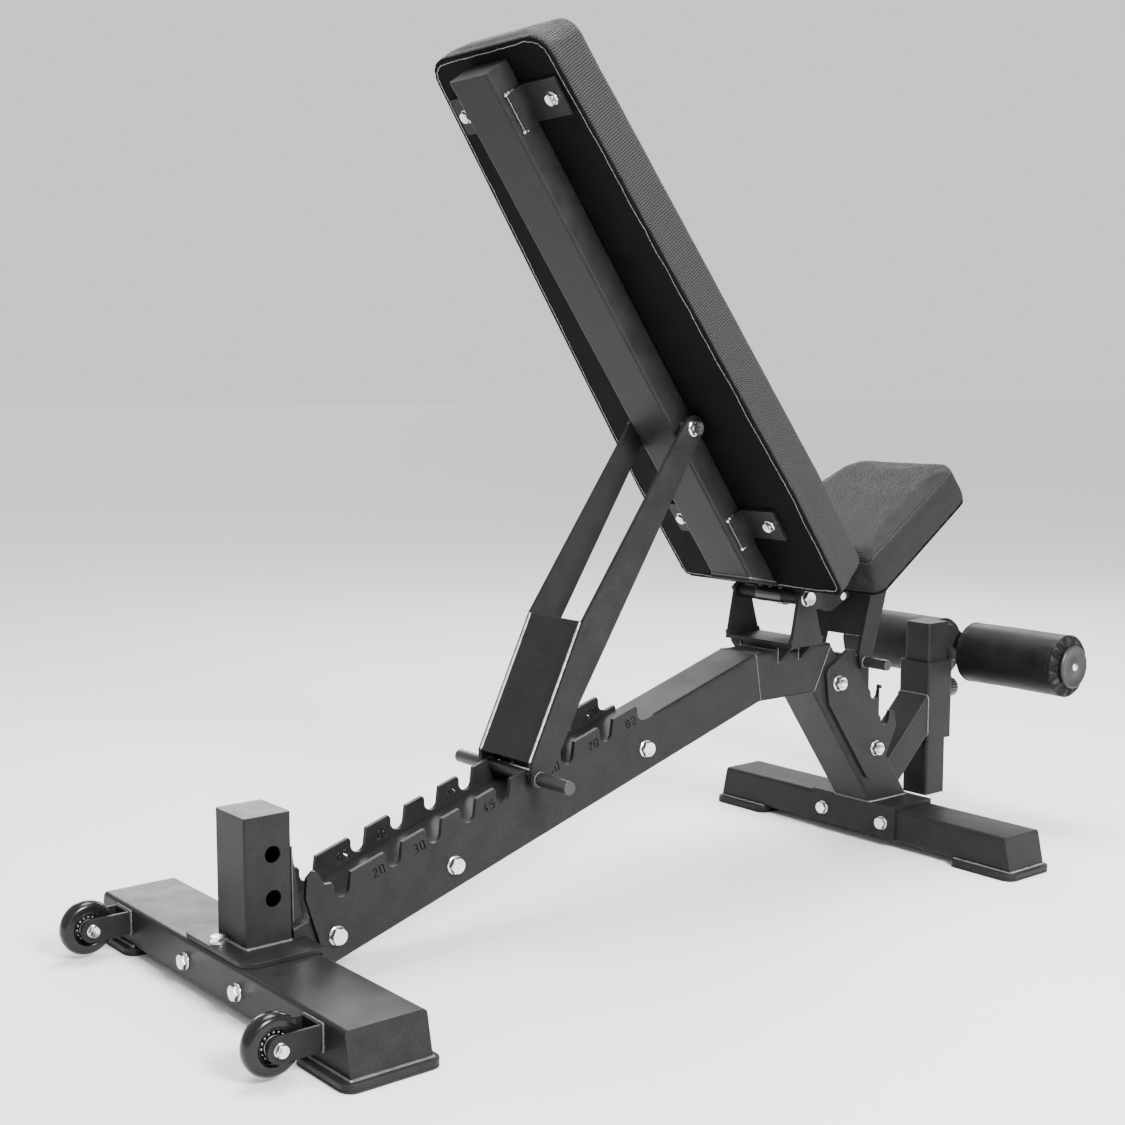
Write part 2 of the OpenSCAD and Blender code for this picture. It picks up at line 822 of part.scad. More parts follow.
module wheel_tyre_left() {
    centred() color("black") on_wheel(1) tyre();
}

module wheel_tyre_right() {
    centred() color("black") on_wheel(-1) tyre();
}

// ---- Backrest ----

barrel_half = 26;
bush_r = 9.5;
bush_len = 22;

module back_barrel() {
    centred() color("gray") translate([hinge[0], 0, hinge[1]]) rotate([90, 0, 0]) difference() {
        cylinder(r = barrel_r, h = 2 * barrel_half, center = true);
        cylinder(r = bush_r, h = through, center = true);
    }
}

module hinge_bushes() {
    centred() color("goldenrod") translate([hinge[0], 0, hinge[1]]) rotate([90, 0, 0])
        for (z = [-barrel_half, barrel_half - bush_len]) translate([0, 0, z]) difference() {
            cylinder(r = bush_r, h = bush_len);
            translate([0, 0, -1]) cylinder(r = pivot_r + run_gap, h = bush_len + 2);
        }
}

// The plate leans by this much from the floor and touches the barrel's top
base_lean = 10;
base_plate_len = 92;

module base_plate() {
    centred() color("dimgray") translate([hinge[0], 0, hinge[1]]) rotate([0, base_lean, 0])
        translate([-base_plate_len, 1 - back_tube_w / 2, barrel_r])
        cube([base_plate_len, back_tube_w - 2, plate_t]);
}

// The backrest tube is closed at the top, and its lower end sits on the base plate
module back_tube() {
    centred() color("dimgray") difference() {
        at_back() difference() {
            translate([-back_tube_end, 0, back_plane - back_tube_h / 2]) rotate([0, 90, 0])
                linear_extrude(back_tube_end - 20) round_rect(back_tube_h, back_tube_w, corner_r);
            translate([3 - back_tube_end, 0, back_plane - back_tube_h / 2]) rotate([0, 90, 0])
                linear_extrude(back_tube_end) round_rect(back_tube_h - 2 * wall, back_tube_w - 2 * wall, 2);
            translate([-prop_pivot_along, 0, -prop_pivot_drop]) rotate([90, 0, 0])
                cylinder(r = prop_bolt_r + hole_gap, h = 2 * back_tube_w, center = true);
        }
        translate([hinge[0], 0, hinge[1]]) rotate([0, base_lean, 0])
            translate([-200, -back_tube_w, barrel_r + plate_t - 120]) cube([300, 2 * back_tube_w, 120]);
    }
}

tab_len = 50;
tab_t = 5;
tab_reach = 106;
back_flange = 30;
tab_bolt_r = 4;
back_tab_along = [149, 808];
tab_bolt_y = 88;

// Tabs welded to a tube's sides, with an ear under the board
module tabs(xs, plane, tube_half, reach, flange) {
    for (x = xs, s = [-1, 1]) {
        translate([x - tab_len / 2, 0, plane]) rotate([90, 0, 90]) linear_extrude(tab_len)
            polygon([[s * tube_half, 0], [s * reach, 0], [s * reach, -tab_t],
                [s * (tube_half + tab_t), -tab_t], [s * (tube_half + tab_t), -flange],
                [s * tube_half, -flange]]);
    }
}

module tab_bolts(xs, plane, y) {
    for (x = xs, s = [-1, 1]) {
        translate([x, s * y, plane - tab_t]) rotate([180, 0, 0]) {
            cylinder(r = 9, h = 1.5);
            translate([0, 0, 1]) cylinder(r = 7.5, h = 5.5, $fn = 6);
            translate([0, 0, -tab_t - board_t + 3]) cylinder(r = tab_bolt_r, h = tab_t + board_t - 2);
        }
    }
}

module tab_holes(xs, plane, y) {
    for (x = xs, s = [-1, 1]) {
        translate([x, s * y, plane - tab_t - 1]) cylinder(r = tab_bolt_r + 0.2, h = tab_t + board_t - 1);
    }
}

back_tab_x = [for (a = back_tab_along) -a];

module back_tabs() {
    centred() color("dimgray") at_back() difference() {
        tabs(back_tab_x, back_plane, back_tube_w / 2, tab_reach, back_flange);
        tab_holes(back_tab_x, back_plane, tab_bolt_y);
    }
}

module back_tab_bolts() {
    centred() color("silver") at_back() tab_bolts(back_tab_x, back_plane, tab_bolt_y);
}

// The pad's plan, inset by a margin, with the hinge end first
function back_plan(m) = rounded([
    [-back_low - m, m - back_half_low], [-back_low - m, back_half_low - m],
    [-back_low - 170, back_half_low - m], [m - back_low - back_len, back_half_top - m],
    [m - back_low - back_len, m - back_half_top], [-back_low - 170, m - back_half_low]],
    [16 - m, 16 - m, 300, 32 - m, 32 - m, 300]);

module back_board() {
    centred() color("black") at_back() difference() {
        translate([0, 0, back_plane]) linear_extrude(board_t) polygon(back_plan(3));
        tab_holes(back_tab_x, back_plane, tab_bolt_y);
        rotate([0, base_lean - back_angle, 0])
            translate([-100, -back_tube_w / 2, 0]) cube([120, back_tube_w, barrel_r + plate_t + 0.2]);
    }
}

module pad_profile(x0, x1, z0) {
    polygon([[x0, z0], [x0, z0 + foam_h - 20], [x0 + sign(x1 - x0) * 18, z0 + foam_h],
        [x1 - sign(x1 - x0) * 12, z0 + foam_h], [x1, z0 + foam_h - 12], [x1, z0]]);
}

module back_pad() {
    base = back_plane + board_t;
    centred() color("gray") at_back() intersection() {
        translate([0, 0, base]) linear_extrude(foam_h) polygon(back_plan(0));
        slab(-back_half_low, back_half_low) pad_profile(-back_low, -back_low - back_len, base);
    }
}

prop_bolt_r = 6;
prop_spacer_r = 11;

module prop_bolt() {
    centred() color("silver") translate([prop_pivot[0], 0, prop_pivot[1]]) {
        translate([0, -prop_arm_y - plate_t - 0.5, 0]) rotate([90, 0, 0])
            through_bolt(prop_bolt_r, across_m12, 2 * (prop_arm_y + plate_t) + 1);
        for (s = [-1, 1]) rotate([-90 * s, 0, 0]) translate([0, 0, back_tube_w / 2]) difference() {
            cylinder(r = prop_spacer_r, h = prop_arm_y - back_tube_w / 2 - 0.5);
            translate([0, 0, -1]) cylinder(r = prop_bolt_r + 0.1, h = through);
        }
    }
}

// ---- Prop ----

// How far down the prop its web plate starts and ends
web_top = 309;
web_low = 502;
prop_head_r = 17;
prop_foot_r = 14;

module prop_arms() {
    centred() color("dimgray") at_prop() difference() {
        both_sides(prop_arm_y, prop_arm_y + plate_t) union() {
            circle(prop_head_r);
            polygon([[-16, 6], [-40, -web_top], [-22, -web_low], [-13, -prop_len - 3],
                [13, -prop_len - 3], [13, -490], [9, -402], [17, -2]]);
            translate([0, -prop_len]) circle(prop_foot_r);
        }
        rotate([90, 0, 0]) cylinder(r = prop_bolt_r + run_gap, h = through, center = true);
        translate([0, 0, -prop_len]) rotate([90, 0, 0]) cylinder(r = prop_rod_r, h = through, center = true);
    }
}

module prop_web() {
    centred() color("dimgray") at_prop() slab(-prop_arm_y, prop_arm_y) polygon([
        [-40, -web_top], [-34, -web_top], [-16, -web_low], [-22, -web_low]]);
}

module prop_rod() {
    centred() color("gray") at_prop() translate([0, 0, -prop_len]) rotate([90, 0, 0])
        cylinder(r = prop_rod_r, h = 2 * prop_rod_half, center = true);
}

// ---- Seat ----

seat_tube_x0 = 62;
seat_tube_x1 = 300;
ear_y = 40.3;
seat_barrel_y = 27;
seat_barrel_len = 33;
seat_pin_at = [84, -48];
seat_pin_r = 6;
seat_pin_half = 52;

// Barrels on the pivot sleeve, with ears that carry the seat tube
module seat_hinge() {
    centred() color("dimgray") at_seat() difference() {
        union() {
            for (s = [-1, 1]) rotate([-90 * s, 0, 0]) translate([0, 0, seat_barrel_y])
                cylinder(r = seat_barrel_r, h = seat_barrel_len);
            both_sides(ear_y, ear_y + plate_t) union() {
                circle(seat_barrel_r);
                polygon([[0, seat_barrel_r], [0, -seat_barrel_r], [50, -54], [58, -58], [100, -58],
                    [100, seat_plane], [56, seat_plane], [30, 2]]);
            }
        }
        rotate([90, 0, 0]) cylinder(r = pivot_r + run_gap, h = through, center = true);
        translate([seat_pin_at[0], 0, seat_pin_at[1]]) rotate([90, 0, 0])
            cylinder(r = seat_pin_r, h = through, center = true);
    }
}

module seat_pin() {
    centred() color("gray") at_seat() translate([seat_pin_at[0], 0, seat_pin_at[1]]) rotate([90, 0, 0])
        cylinder(r = seat_pin_r, h = 2 * seat_pin_half, center = true);
}

module seat_tube() {
    centred() color("dimgray") at_seat() difference() {
        translate([seat_tube_x0, 0, seat_plane - back_tube_h / 2]) rotate([0, 90, 0])
            linear_extrude(seat_tube_x1 - seat_tube_x0) tube_section(back_tube_h, 2 * ear_y, wall);
        translate([seat_pin_at[0], 0, seat_pin_at[1]]) rotate([90, 0, 0])
            cylinder(r = seat_pin_r, h = through, center = true);
        translate([lever_along, 0, -lever_drop]) rotate([90, 0, 0])
            cylinder(r = lever_bolt_r + hole_gap, h = through, center = true);
    }
}

seat_tab_x = [132, 272];
seat_bolt_y = 74;
seat_tab_reach = 90;
seat_flange = 20;

module seat_tabs() {
    centred() color("dimgray") at_seat() difference() {
        tabs(seat_tab_x, seat_plane, ear_y, seat_tab_reach, seat_flange);
        tab_holes(seat_tab_x, seat_plane, seat_bolt_y);
    }
}

module seat_tab_bolts() {
    centred() color("silver") at_seat() tab_bolts(seat_tab_x, seat_plane, seat_bolt_y);
}

function seat_plan(m) = rounded([
    [seat_low + m, m - seat_half_rear], [seat_low + seat_len - m, m - seat_half_front],
    [seat_low + seat_len - m, seat_half_front - m], [seat_low + m, seat_half_rear - m]],
    [16 - m, 44 - m, 44 - m, 16 - m]);

module seat_board() {
    centred() color("black") at_seat() difference() {
        translate([0, 0, seat_plane]) linear_extrude(board_t) polygon(seat_plan(3));
        tab_holes(seat_tab_x, seat_plane, seat_bolt_y);
    }
}

module seat_pad() {
    base = seat_plane + board_t;
    centred() color("gray") at_seat() intersection() {
        translate([0, 0, base]) linear_extrude(foam_h - 6) polygon(seat_plan(0));
        slab(-seat_half_rear, seat_half_rear) pad_profile(seat_low, seat_low + seat_len, base - 6);
    }
}

lever_bolt_r = 5;

module lever_bolt() {
    centred() color("silver") translate([lever_pivot[0], 0, lever_pivot[1]])
        translate([0, -lever_y - plate_t - 0.5, 0]) rotate([90, 0, 0])
            through_bolt(lever_bolt_r, across_m10, 2 * (lever_y + plate_t) + 1);
}

// ---- Seat lever ----

module seat_lever() {
    centred() color("dimgray") at_lever() difference() {
        union() {
            both_sides(lever_y, lever_y + plate_t) union() {
                circle(16);
                polygon([[-16, 0], [-19, -60], [-19, -160], [-11, -lever_len - 4], [8, -lever_len - 6],
                    [12, -lever_len + 2], [15, -75], [16, 0]]);
                translate([0, -lever_len]) circle(12);
            }
            slab(-lever_y, lever_y) polygon([[-19, -62], [-14, -62], [-14, -134], [-19, -134]]);
        }
        rotate([90, 0, 0]) cylinder(r = lever_bolt_r + run_gap, h = through, center = true);
        translate([0, 0, -lever_len]) rotate([90, 0, 0]) cylinder(r = seat_rod_r, h = through, center = true);
    }
}

module seat_rod() {
    centred() color("gray") at_lever() translate([0, 0, -lever_len]) rotate([90, 0, 0])
        cylinder(r = seat_rod_r, h = 2 * seat_rod_half, center = true);
}

rear_crossbar();
front_crossbar();
foot_plates();
foot_soles();
rear_bracket();
crossbar_bolts();
rear_post();
post_gussets();
spine_tube();
hump_tube();
front_leg();
ladder_plate_left();
ladder_plate_right();
ladder_bolts();
hinge_yoke();
yoke_supports();
pivot_sleeve();
hinge_bolt();
notch_plates();
notch_bolts();
leg_saddle();
arm_tube();
post_sleeve();
sleeve_liners();
wheel_brackets();
wheel_bolts();
wheel_hub_left();
wheel_tyre_left();
wheel_hub_right();
wheel_tyre_right();
back_barrel();
hinge_bushes();
base_plate();
back_tube();
back_tabs();
back_tab_bolts();
back_board();
back_pad();
prop_bolt();
prop_arms();
prop_web();
prop_rod();
seat_hinge();
seat_pin();
seat_tube();
seat_tabs();
seat_tab_bolts();
seat_board();
seat_pad();
lever_bolt();
seat_lever();
seat_rod();
clamp_knob();
roller_post();
roller_axle();
roller_caps();
roller_foam_left();
roller_foam_right();
roller_core_left();
roller_core_right();
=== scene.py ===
import bmesh, bpy, json, math
import numpy as np
from mathutils import Vector, Matrix
from mathutils.bvhtree import BVHTree
from mathutils.kdtree import KDTree


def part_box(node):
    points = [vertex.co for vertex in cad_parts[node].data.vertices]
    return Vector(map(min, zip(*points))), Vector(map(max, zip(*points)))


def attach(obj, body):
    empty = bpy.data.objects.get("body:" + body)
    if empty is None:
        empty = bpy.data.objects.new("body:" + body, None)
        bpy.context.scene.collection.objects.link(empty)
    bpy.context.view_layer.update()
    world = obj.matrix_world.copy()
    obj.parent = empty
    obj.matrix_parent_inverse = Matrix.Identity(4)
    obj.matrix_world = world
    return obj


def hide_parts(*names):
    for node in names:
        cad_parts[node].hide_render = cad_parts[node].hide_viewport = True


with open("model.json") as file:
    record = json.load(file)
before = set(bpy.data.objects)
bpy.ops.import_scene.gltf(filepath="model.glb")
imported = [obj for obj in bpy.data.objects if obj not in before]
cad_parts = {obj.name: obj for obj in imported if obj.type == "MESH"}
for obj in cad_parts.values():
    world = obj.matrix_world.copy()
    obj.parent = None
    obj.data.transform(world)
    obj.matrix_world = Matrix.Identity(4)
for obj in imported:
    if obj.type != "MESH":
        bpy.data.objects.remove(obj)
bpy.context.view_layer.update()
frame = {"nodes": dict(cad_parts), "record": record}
nodes = frame["nodes"]
MM = 0.001
scene = bpy.context.scene


# ---- Node trees ----

def nd(tree, kind, ins=None, **props):
    n = tree.nodes.new("ShaderNode" + kind)
    for k, v in props.items():
        setattr(n, k, v)
    for i, v in (ins or {}).items():
        if isinstance(v, bpy.types.NodeSocket):
            tree.links.new(v, n.inputs[i])
        else:
            n.inputs[i].default_value = v
    return n.outputs


def shader(name, color, rough, metal=0.0, **more):
    m = bpy.data.materials.new(name)
    m.use_nodes = True
    t = m.node_tree
    b = t.nodes["Principled BSDF"]
    b.inputs["Base Color"].default_value = (*color, 1)
    b.inputs["Roughness"].default_value = rough
    b.inputs["Metallic"].default_value = metal
    for k, v in more.items():
        b.inputs[k.replace("_", " ")].default_value = v
    m.diffuse_color = (*color, 1)
    return m, t, b


def mottled(t, b, color, scale, amount, rough, rough_amount):
    """Colour and roughness that drift a little over the surface."""
    at = nd(t, "TexCoord")["Object"]
    n = nd(t, "TexNoise", {"Vector": at, "Scale": scale, "Detail": 5.0, "Roughness": 0.6})
    low = tuple(c * (1 - amount) for c in color)
    high = tuple(min(1, c * (1 + amount) + amount * 0.01) for c in color)
    ramp = nd(t, "MapRange", {"Value": n[0], "From Min": 0.3, "From Max": 0.7})
    mix = nd(t, "Mix", {0: ramp[0], 6: (*low, 1), 7: (*high, 1)}, data_type="RGBA")
    t.links.new(mix[2], b.inputs["Base Color"])
    r = nd(t, "MapRange", {"Value": n[0], "From Min": 0.3, "From Max": 0.7,
                           "To Min": rough - rough_amount, "To Max": rough + rough_amount})
    t.links.new(r[0], b.inputs["Roughness"])
    return at


def bumps(t, b, height, distance, strength=1.0, before=None):
    ins = {"Height": height, "Distance": distance, "Strength": strength}
    if before is not None:
        ins["Normal"] = before
    out = nd(t, "Bump", ins)
    t.links.new(out[0], b.inputs["Normal"])
    return out[0]


def coat(name, color, rough, grain, depth, metal=0.0, **more):
    """A sprayed or plated finish with fine grain."""
    m, t, b = shader(name, color, rough, metal, **more)
    at = mottled(t, b, color, 30.0, 0.16, rough, 0.06)
    speck = nd(t, "TexNoise", {"Vector": at, "Scale": grain / 2, "Detail": 1.0})
    gain = nd(t, "MapRange", {"Value": speck[0], "From Min": 0.25, "From Max": 0.75,
                              "To Min": 0.7, "To Max": 1.3})
    tone = b.inputs["Base Color"].links[0].from_socket
    grainy = nd(t, "VectorMath", {0: tone, "Scale": gain[0]}, operation="SCALE")
    t.links.new(grainy[0], b.inputs["Base Color"])
    fine = nd(t, "TexNoise", {"Vector": at, "Scale": grain, "Detail": 2.0})
    broad = nd(t, "TexNoise", {"Vector": at, "Scale": grain / 9, "Detail": 1.0})
    first = bumps(t, b, broad[0], depth * 2, 0.35)
    bumps(t, b, fine[0], depth, 0.7, first)
    return m


def woven(name, color, light, rough, pitch):
    """Textured vinyl: fine wavering ribs and a cross weave, laid out by UVs in metres; the raised weave is
    coloured lighter as a painted sheen.
    """
    m, t, b = shader(name, color, rough, 0.0, Specular_IOR_Level=0.1)
    at = mottled(t, b, color, 22.0, 0.18, rough, 0.05)
    xyz = nd(t, "SeparateXYZ", {0: nd(t, "UVMap", uv_map="cloth")[0]})
    k = 2 * math.pi / pitch

    def wave(src, factor, phase=0.0):
        p = nd(t, "Math", {0: src, 1: factor, 2: phase}, operation="MULTIPLY_ADD")
        return nd(t, "Math", {0: p[0]}, operation="SINE")[0]

    drift = nd(t, "TexNoise", {"Vector": at, "Scale": 45.0, "Detail": 2.0})
    lean = nd(t, "Math", {0: drift[0], 1: 5.0}, operation="MULTIPLY")
    sway = nd(t, "Math", {0: wave(xyz[1], k * 0.8), 1: 0.9, 2: lean[0]}, operation="MULTIPLY_ADD")
    ribs = wave(xyz[0], k, sway[0])
    cross = wave(xyz[1], k * 1.6)
    h = nd(t, "Math", {0: cross, 1: 0.4, 2: ribs}, operation="MULTIPLY_ADD")
    # Painted sheen: the higher the weave stands, the nearer its colour comes to the light colour
    mask = nd(t, "MapRange", {"Value": h[0], "From Min": -1.1, "From Max": 1.3})
    base = b.inputs["Base Color"].links[0].from_socket
    tone = nd(t, "Mix", {0: mask[0], 6: base, 7: (*light, 1)}, data_type="RGBA")
    t.links.new(tone[2], b.inputs["Base Color"])
    grain = nd(t, "TexNoise", {"Vector": at, "Scale": 2600.0, "Detail": 2.0})
    first = bumps(t, b, h[0], pitch * 0.12, 0.9)
    bumps(t, b, grain[0], 0.0001, 0.5, first)
    return m


def brushed(name, color, rough, scale):
    """Turned or drawn bar: faint streaks round the part."""
    m, t, b = shader(name, color, rough, 1.0)
    at = mottled(t, b, color, 60.0, 0.12, rough, 0.07)
    stretch = nd(t, "Mapping", {"Vector": at, "Scale": scale})
    streak = nd(t, "TexNoise", {"Vector": stretch[0], "Scale": 1.0, "Detail": 3.0})
    bumps(t, b, streak[0], 0.00006, 0.5)
    return m


MATS = {
    "powder_coat": coat("powder_coat", (0.0125, 0.0127, 0.0133), 0.4, 1500.0, 0.00014,
                        Specular_IOR_Level=0.12),
    "gloss_paint": coat("gloss_paint", (0.006, 0.006, 0.0065), 0.22, 900.0, 0.00005, Coat_Weight=0.2),
    "zinc_plate": coat("zinc_plate", (0.72, 0.73, 0.75), 0.24, 1100.0, 0.00005, 1.0),
    "ground_steel": coat("ground_steel", (0.025, 0.0255, 0.027), 0.36, 1200.0, 0.00006, 0.3),
    "bush_metal": brushed("bush_metal", (0.55, 0.40, 0.19), 0.35, (900, 40, 900)),
    "sole_rubber": coat("sole_rubber", (0.009, 0.009, 0.01), 0.75, 700.0, 0.0003, Specular_IOR_Level=0.3),
    "liner_plastic": coat("liner_plastic", (0.012, 0.012, 0.013), 0.5, 900.0, 0.00008),
    "knob_plastic": coat("knob_plastic", (0.01, 0.01, 0.011), 0.33, 900.0, 0.00008),
    "hub_steel": brushed("hub_steel", (0.16, 0.165, 0.17), 0.3, (300, 900, 300)),
    "tyre_rubber": coat("tyre_rubber", (0.004, 0.004, 0.0043), 0.2, 500.0, 0.00005, Specular_IOR_Level=0.3),
    "board_coat": coat("board_coat", (0.0022, 0.0022, 0.0023), 0.7, 900.0, 0.0002,
                       Specular_IOR_Level=0.06),
    # The second colour of each vinyl is the painted sheen on its raised weave
    "back_vinyl": woven("back_vinyl", (0.0025, 0.0025, 0.0027), (0.05, 0.05, 0.052), 0.55, 0.0034),
    "seat_vinyl": woven("seat_vinyl", (0.0025, 0.0025, 0.0027), (0.03, 0.03, 0.0313), 0.65, 0.003),
    "roller_vinyl": coat("roller_vinyl", (0.0055, 0.0055, 0.006), 0.46, 1700.0, 0.0002,
                         Specular_IOR_Level=0.13),
    "roller_foam": coat("roller_foam", (0.1, 0.1, 0.1), 0.5, 800.0, 0.0001),
    "cap_plastic": coat("cap_plastic", (0.017, 0.0174, 0.018), 0.4, 1200.0, 0.0001, Specular_IOR_Level=0.3),
}
# The beads are powder-coated like the frame; this mid grey is a painted sheen on them
weld_painted_sheen = coat("weld_painted_sheen", (0.10, 0.102, 0.106), 0.34, 1400.0, 0.0002, 0.7)
# Powder-coated beads coloured light grey: a painted highlight on the tab dots and the prop's welds
weld_painted_highlight = coat("weld_painted_highlight", (0.5, 0.5, 0.52), 0.32, 1400.0, 0.0003, 0.9)
raw_edge = coat("raw_edge", (0.28, 0.28, 0.28), 0.6, 900.0, 0.0001)
# Near-black painted shade: the ring inside each wheel's race and the walls of the cut numbers
painted_shade = coat("painted_shade", (0.003, 0.003, 0.003), 0.8, 900.0, 0.0001)
thread_black = coat("thread_black", (0.008, 0.008, 0.009), 0.5, 2600.0, 0.0001)


# ---- Geometry helpers ----

def centre(node):
    lo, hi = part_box(node)
    return (lo + hi) / 2


def unit(v):
    v = np.asarray(v, float)
    return v / np.linalg.norm(v)


def along(axis, origin=(0, 0, 0)):
    """A matrix whose local +Z is axis, placed at origin."""
    q = Vector(axis).to_track_quat("Z", "Y")
    return Matrix.Translation(Vector(origin)) @ q.to_matrix().to_4x4()


def resample(loop, step, closed=True):
    """Points about step apart along a polyline."""
    p = np.asarray(loop, float)
    if closed:
        p = np.vstack([p, p[:1]])
    seg = np.linalg.norm(np.diff(p, axis=0), axis=1)
    s = np.concatenate([[0], np.cumsum(seg)])
    n = max(4, int(round(s[-1] / step)))
    q = np.linspace(0, s[-1], n + 1)
    if closed:
        q = q[:-1]
    return np.stack([np.interp(q, s, p[:, i]) for i in range(p.shape[1])], 1)


def outward(loop):
    """Unit normals in the plane of a closed 2D loop, pointing out."""
    d = np.roll(loop, -1, 0) - np.roll(loop, 1, 0)
    n = np.stack([d[:, 1], -d[:, 0]], 1)
    n /= np.linalg.norm(n, axis=1)[:, None] + 1e-12
    area = np.sum(loop[:, 0] * np.roll(loop[:, 1], -1) - np.roll(loop[:, 0], -1) * loop[:, 1])
    return n if area > 0 else -n


def coords(node, into=None):
    """A node's vertices, in the world or in the frame of a matrix."""
    me = nodes[node].data
    co = np.zeros(len(me.vertices) * 3, np.float32)
    me.vertices.foreach_get("co", co)
    co = co.reshape(-1, 3).astype(float)
    if into is not None:
        a = np.array(into.inverted(), float)
        co = co @ a[:3, :3].T + a[:3, 3]
    return co


def hull2(p):
    """Convex hull of 2D points, anticlockwise."""
    p = sorted(set(map(tuple, np.round(p, 6))))

    def half(points):
        out = []
        for q in points:
            while len(out) > 1 and ((out[-1][0] - out[-2][0]) * (q[1] - out[-2][1])
                                    - (out[-1][1] - out[-2][1]) * (q[0] - out[-2][0])) <= 1e-10:
                out.pop()
            out.append(q)
        return out[:-1]
    return np.array(half(p) + half(p[::-1]))


def rim(node, point, normal, tol=0.4 * MM):
    """Outline of the node's face that lies in a plane, as ordered 3D points."""
    co = coords(node)
    n = unit(normal)
    on = co[abs((co - np.asarray(point)) @ n) < tol]
    m = np.array(along(n, point), float)
    loc = (on - m[:3, 3]) @ m[:3, :3]
    h = hull2(loc[:, :2])
    return np.c_[h, np.zeros(len(h))] @ m[:3, :3].T + m[:3, 3]


def islands(node, into=None):
    """The vertices of each loose part of a node."""
    me = nodes[node].data
    co = coords(node, into)
    keys = {}
    ids = np.array([keys.setdefault(tuple(k), len(keys)) for k in np.round(coords(node) * 20000).astype(int)])
    root = list(range(len(keys)))

    def find(a):
        while root[a] != a:
            root[a] = root[root[a]]
            a = root[a]
        return a
    for e in me.edges:
        a, b = find(ids[e.vertices[0]]), find(ids[e.vertices[1]])
        root[a] = b
    group = np.array([find(i) for i in ids])
    return [co[group == g] for g in sorted(set(group))]


class Batch:
    """Gathers geometry into one piece of the model."""

    def __init__(self):
        self.v, self.f, self.n = [], [], 0

    def add(self, verts, faces, at=None):
        v = np.asarray(verts, float)
        if at is not None:
            a = np.array(at, float)
            v = v @ a[:3, :3].T + a[:3, 3]
        self.v.append(v)
        self.f += [[i + self.n for i in f] for f in faces]
        self.n += len(v)

    def rings(self, rings, at=None, closed=False):
        """Skins rings that all have the same number of points, and caps the ends of an open run."""
        m, k = len(rings), len(rings[0])
        f = []
        for i in range(m if closed else m - 1):
            a, b = i * k, ((i + 1) % m) * k
            for j in range(k):
                j2 = (j + 1) % k
                f.append([a + j, a + j2, b + j2, b + j])
        if not closed:
            f.append(list(range(k))[::-1])
            f.append([(m - 1) * k + j for j in range(k)])
        self.add(np.concatenate(rings), f, at)

    def lathe(self, profile, seg=48, at=None, closed=False, radius=None):
        """Turns (r, z) points round Z; radius(r, angle, z) may reshape a ring."""
        ang = np.linspace(0, 2 * math.pi, seg, endpoint=False)
        rings = []
        for r, z in profile:
            rr = np.full(seg, r) if radius is None else radius(r, ang, z)
            rings.append(np.c_[rr * np.cos(ang), rr * np.sin(ang), np.full(seg, z)])
        self.rings(rings, at, closed)

    def bead(self, path, r, closed=True, pitch=2.4, seed=0):
        """A weld bead: overlapping ripples along a path."""
        rng = np.random.default_rng(seed + 11)
        step, sides, knot = 0.8, 8, 5.0  # millimetres along the bead, points round it, millimetres per draw
        p = resample(path, step * MM, closed)
        n = len(p)
        if closed:
            d = np.roll(p, -1, 0) - np.roll(p, 1, 0)
        else:
            d = np.gradient(p, axis=0)
        d /= np.linalg.norm(d, axis=1)[:, None] + 1e-12
        s = np.arange(n) * step
        knots = np.arange(0, s[-1] + 12, knot)
        rad = r * np.interp(s, knots, rng.uniform(0.86, 1.14, len(knots)))
        rad *= 0.78 + 0.3 * abs(np.sin(math.pi * s / pitch))
        if not closed:
            rad = rad * np.clip(np.minimum(s, s[::-1]) / 2.0 + 0.15, 0, 1)
        rings = []
        ref = np.array([0.31, 0.22, 0.92])  # a direction that no bead runs along
        t = np.linspace(0, 2 * math.pi, sides, endpoint=False)
        for i in range(n):
            a = np.cross(d[i], ref)
            a /= np.linalg.norm(a)
            b = np.cross(d[i], a)
            rings.append(p[i] + rad[i] * (np.cos(t)[:, None] * a + np.sin(t)[:, None] * b))
        self.rings(rings, closed=closed)

    def done(self, name, body, slot, material=None, smooth=30, replaces=(), matrix=None):
        """Makes the object; edges sharper than smooth degrees stay sharp."""
        me = bpy.data.meshes.new(name)
        v = np.concatenate(self.v)
        me.from_pydata(v.tolist(), [], self.f)
        me.update()
        me.polygons.foreach_set("use_smooth", [True] * len(me.polygons))
        me.set_sharp_from_angle(angle=math.radians(smooth))
        o = bpy.data.objects.new(name, me)
        scene.collection.objects.link(o)
        if matrix is not None:
            o.matrix_world = matrix
        me.materials.append(material or MATS[slot])
        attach(o, body)
        if replaces:
            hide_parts(*replaces)
        return o


# ---- CAD nodes: finishes and softened edges ----

record = frame["record"]
slot_of = {s["node"]: s["material_slot"] for s in record["subparts"]}
MERGE = 0.02 * MM
body_of = {n: b for b, names in record["behaviour"]["bodies"].items() for n in names}


def soften(o, width):
    """Merges the facets of flat faces, rounds the edges and keeps flat faces flat."""
    o.modifiers.new("weld", "WELD").merge_threshold = MERGE
    flat = o.modifiers.new("flat", "DECIMATE")
    flat.decimate_type = "DISSOLVE"
    flat.angle_limit = math.radians(0.6)
    edge = o.modifiers.new("edge", "BEVEL")
    edge.width, edge.segments = width, 2
    edge.limit_method = "ANGLE"
    edge.angle_limit = math.radians(38)
    even = o.modifiers.new("even", "WEIGHTED_NORMAL")
    even.mode = "FACE_AREA"
    even.weight = 100


for name, o in nodes.items():
    o.data.materials.clear()
    o.data.materials.append(MATS[slot_of[name]])
    o.data.polygons.foreach_set("use_smooth", [True] * len(o.data.polygons))
    soften(o, 1.1 * MM)

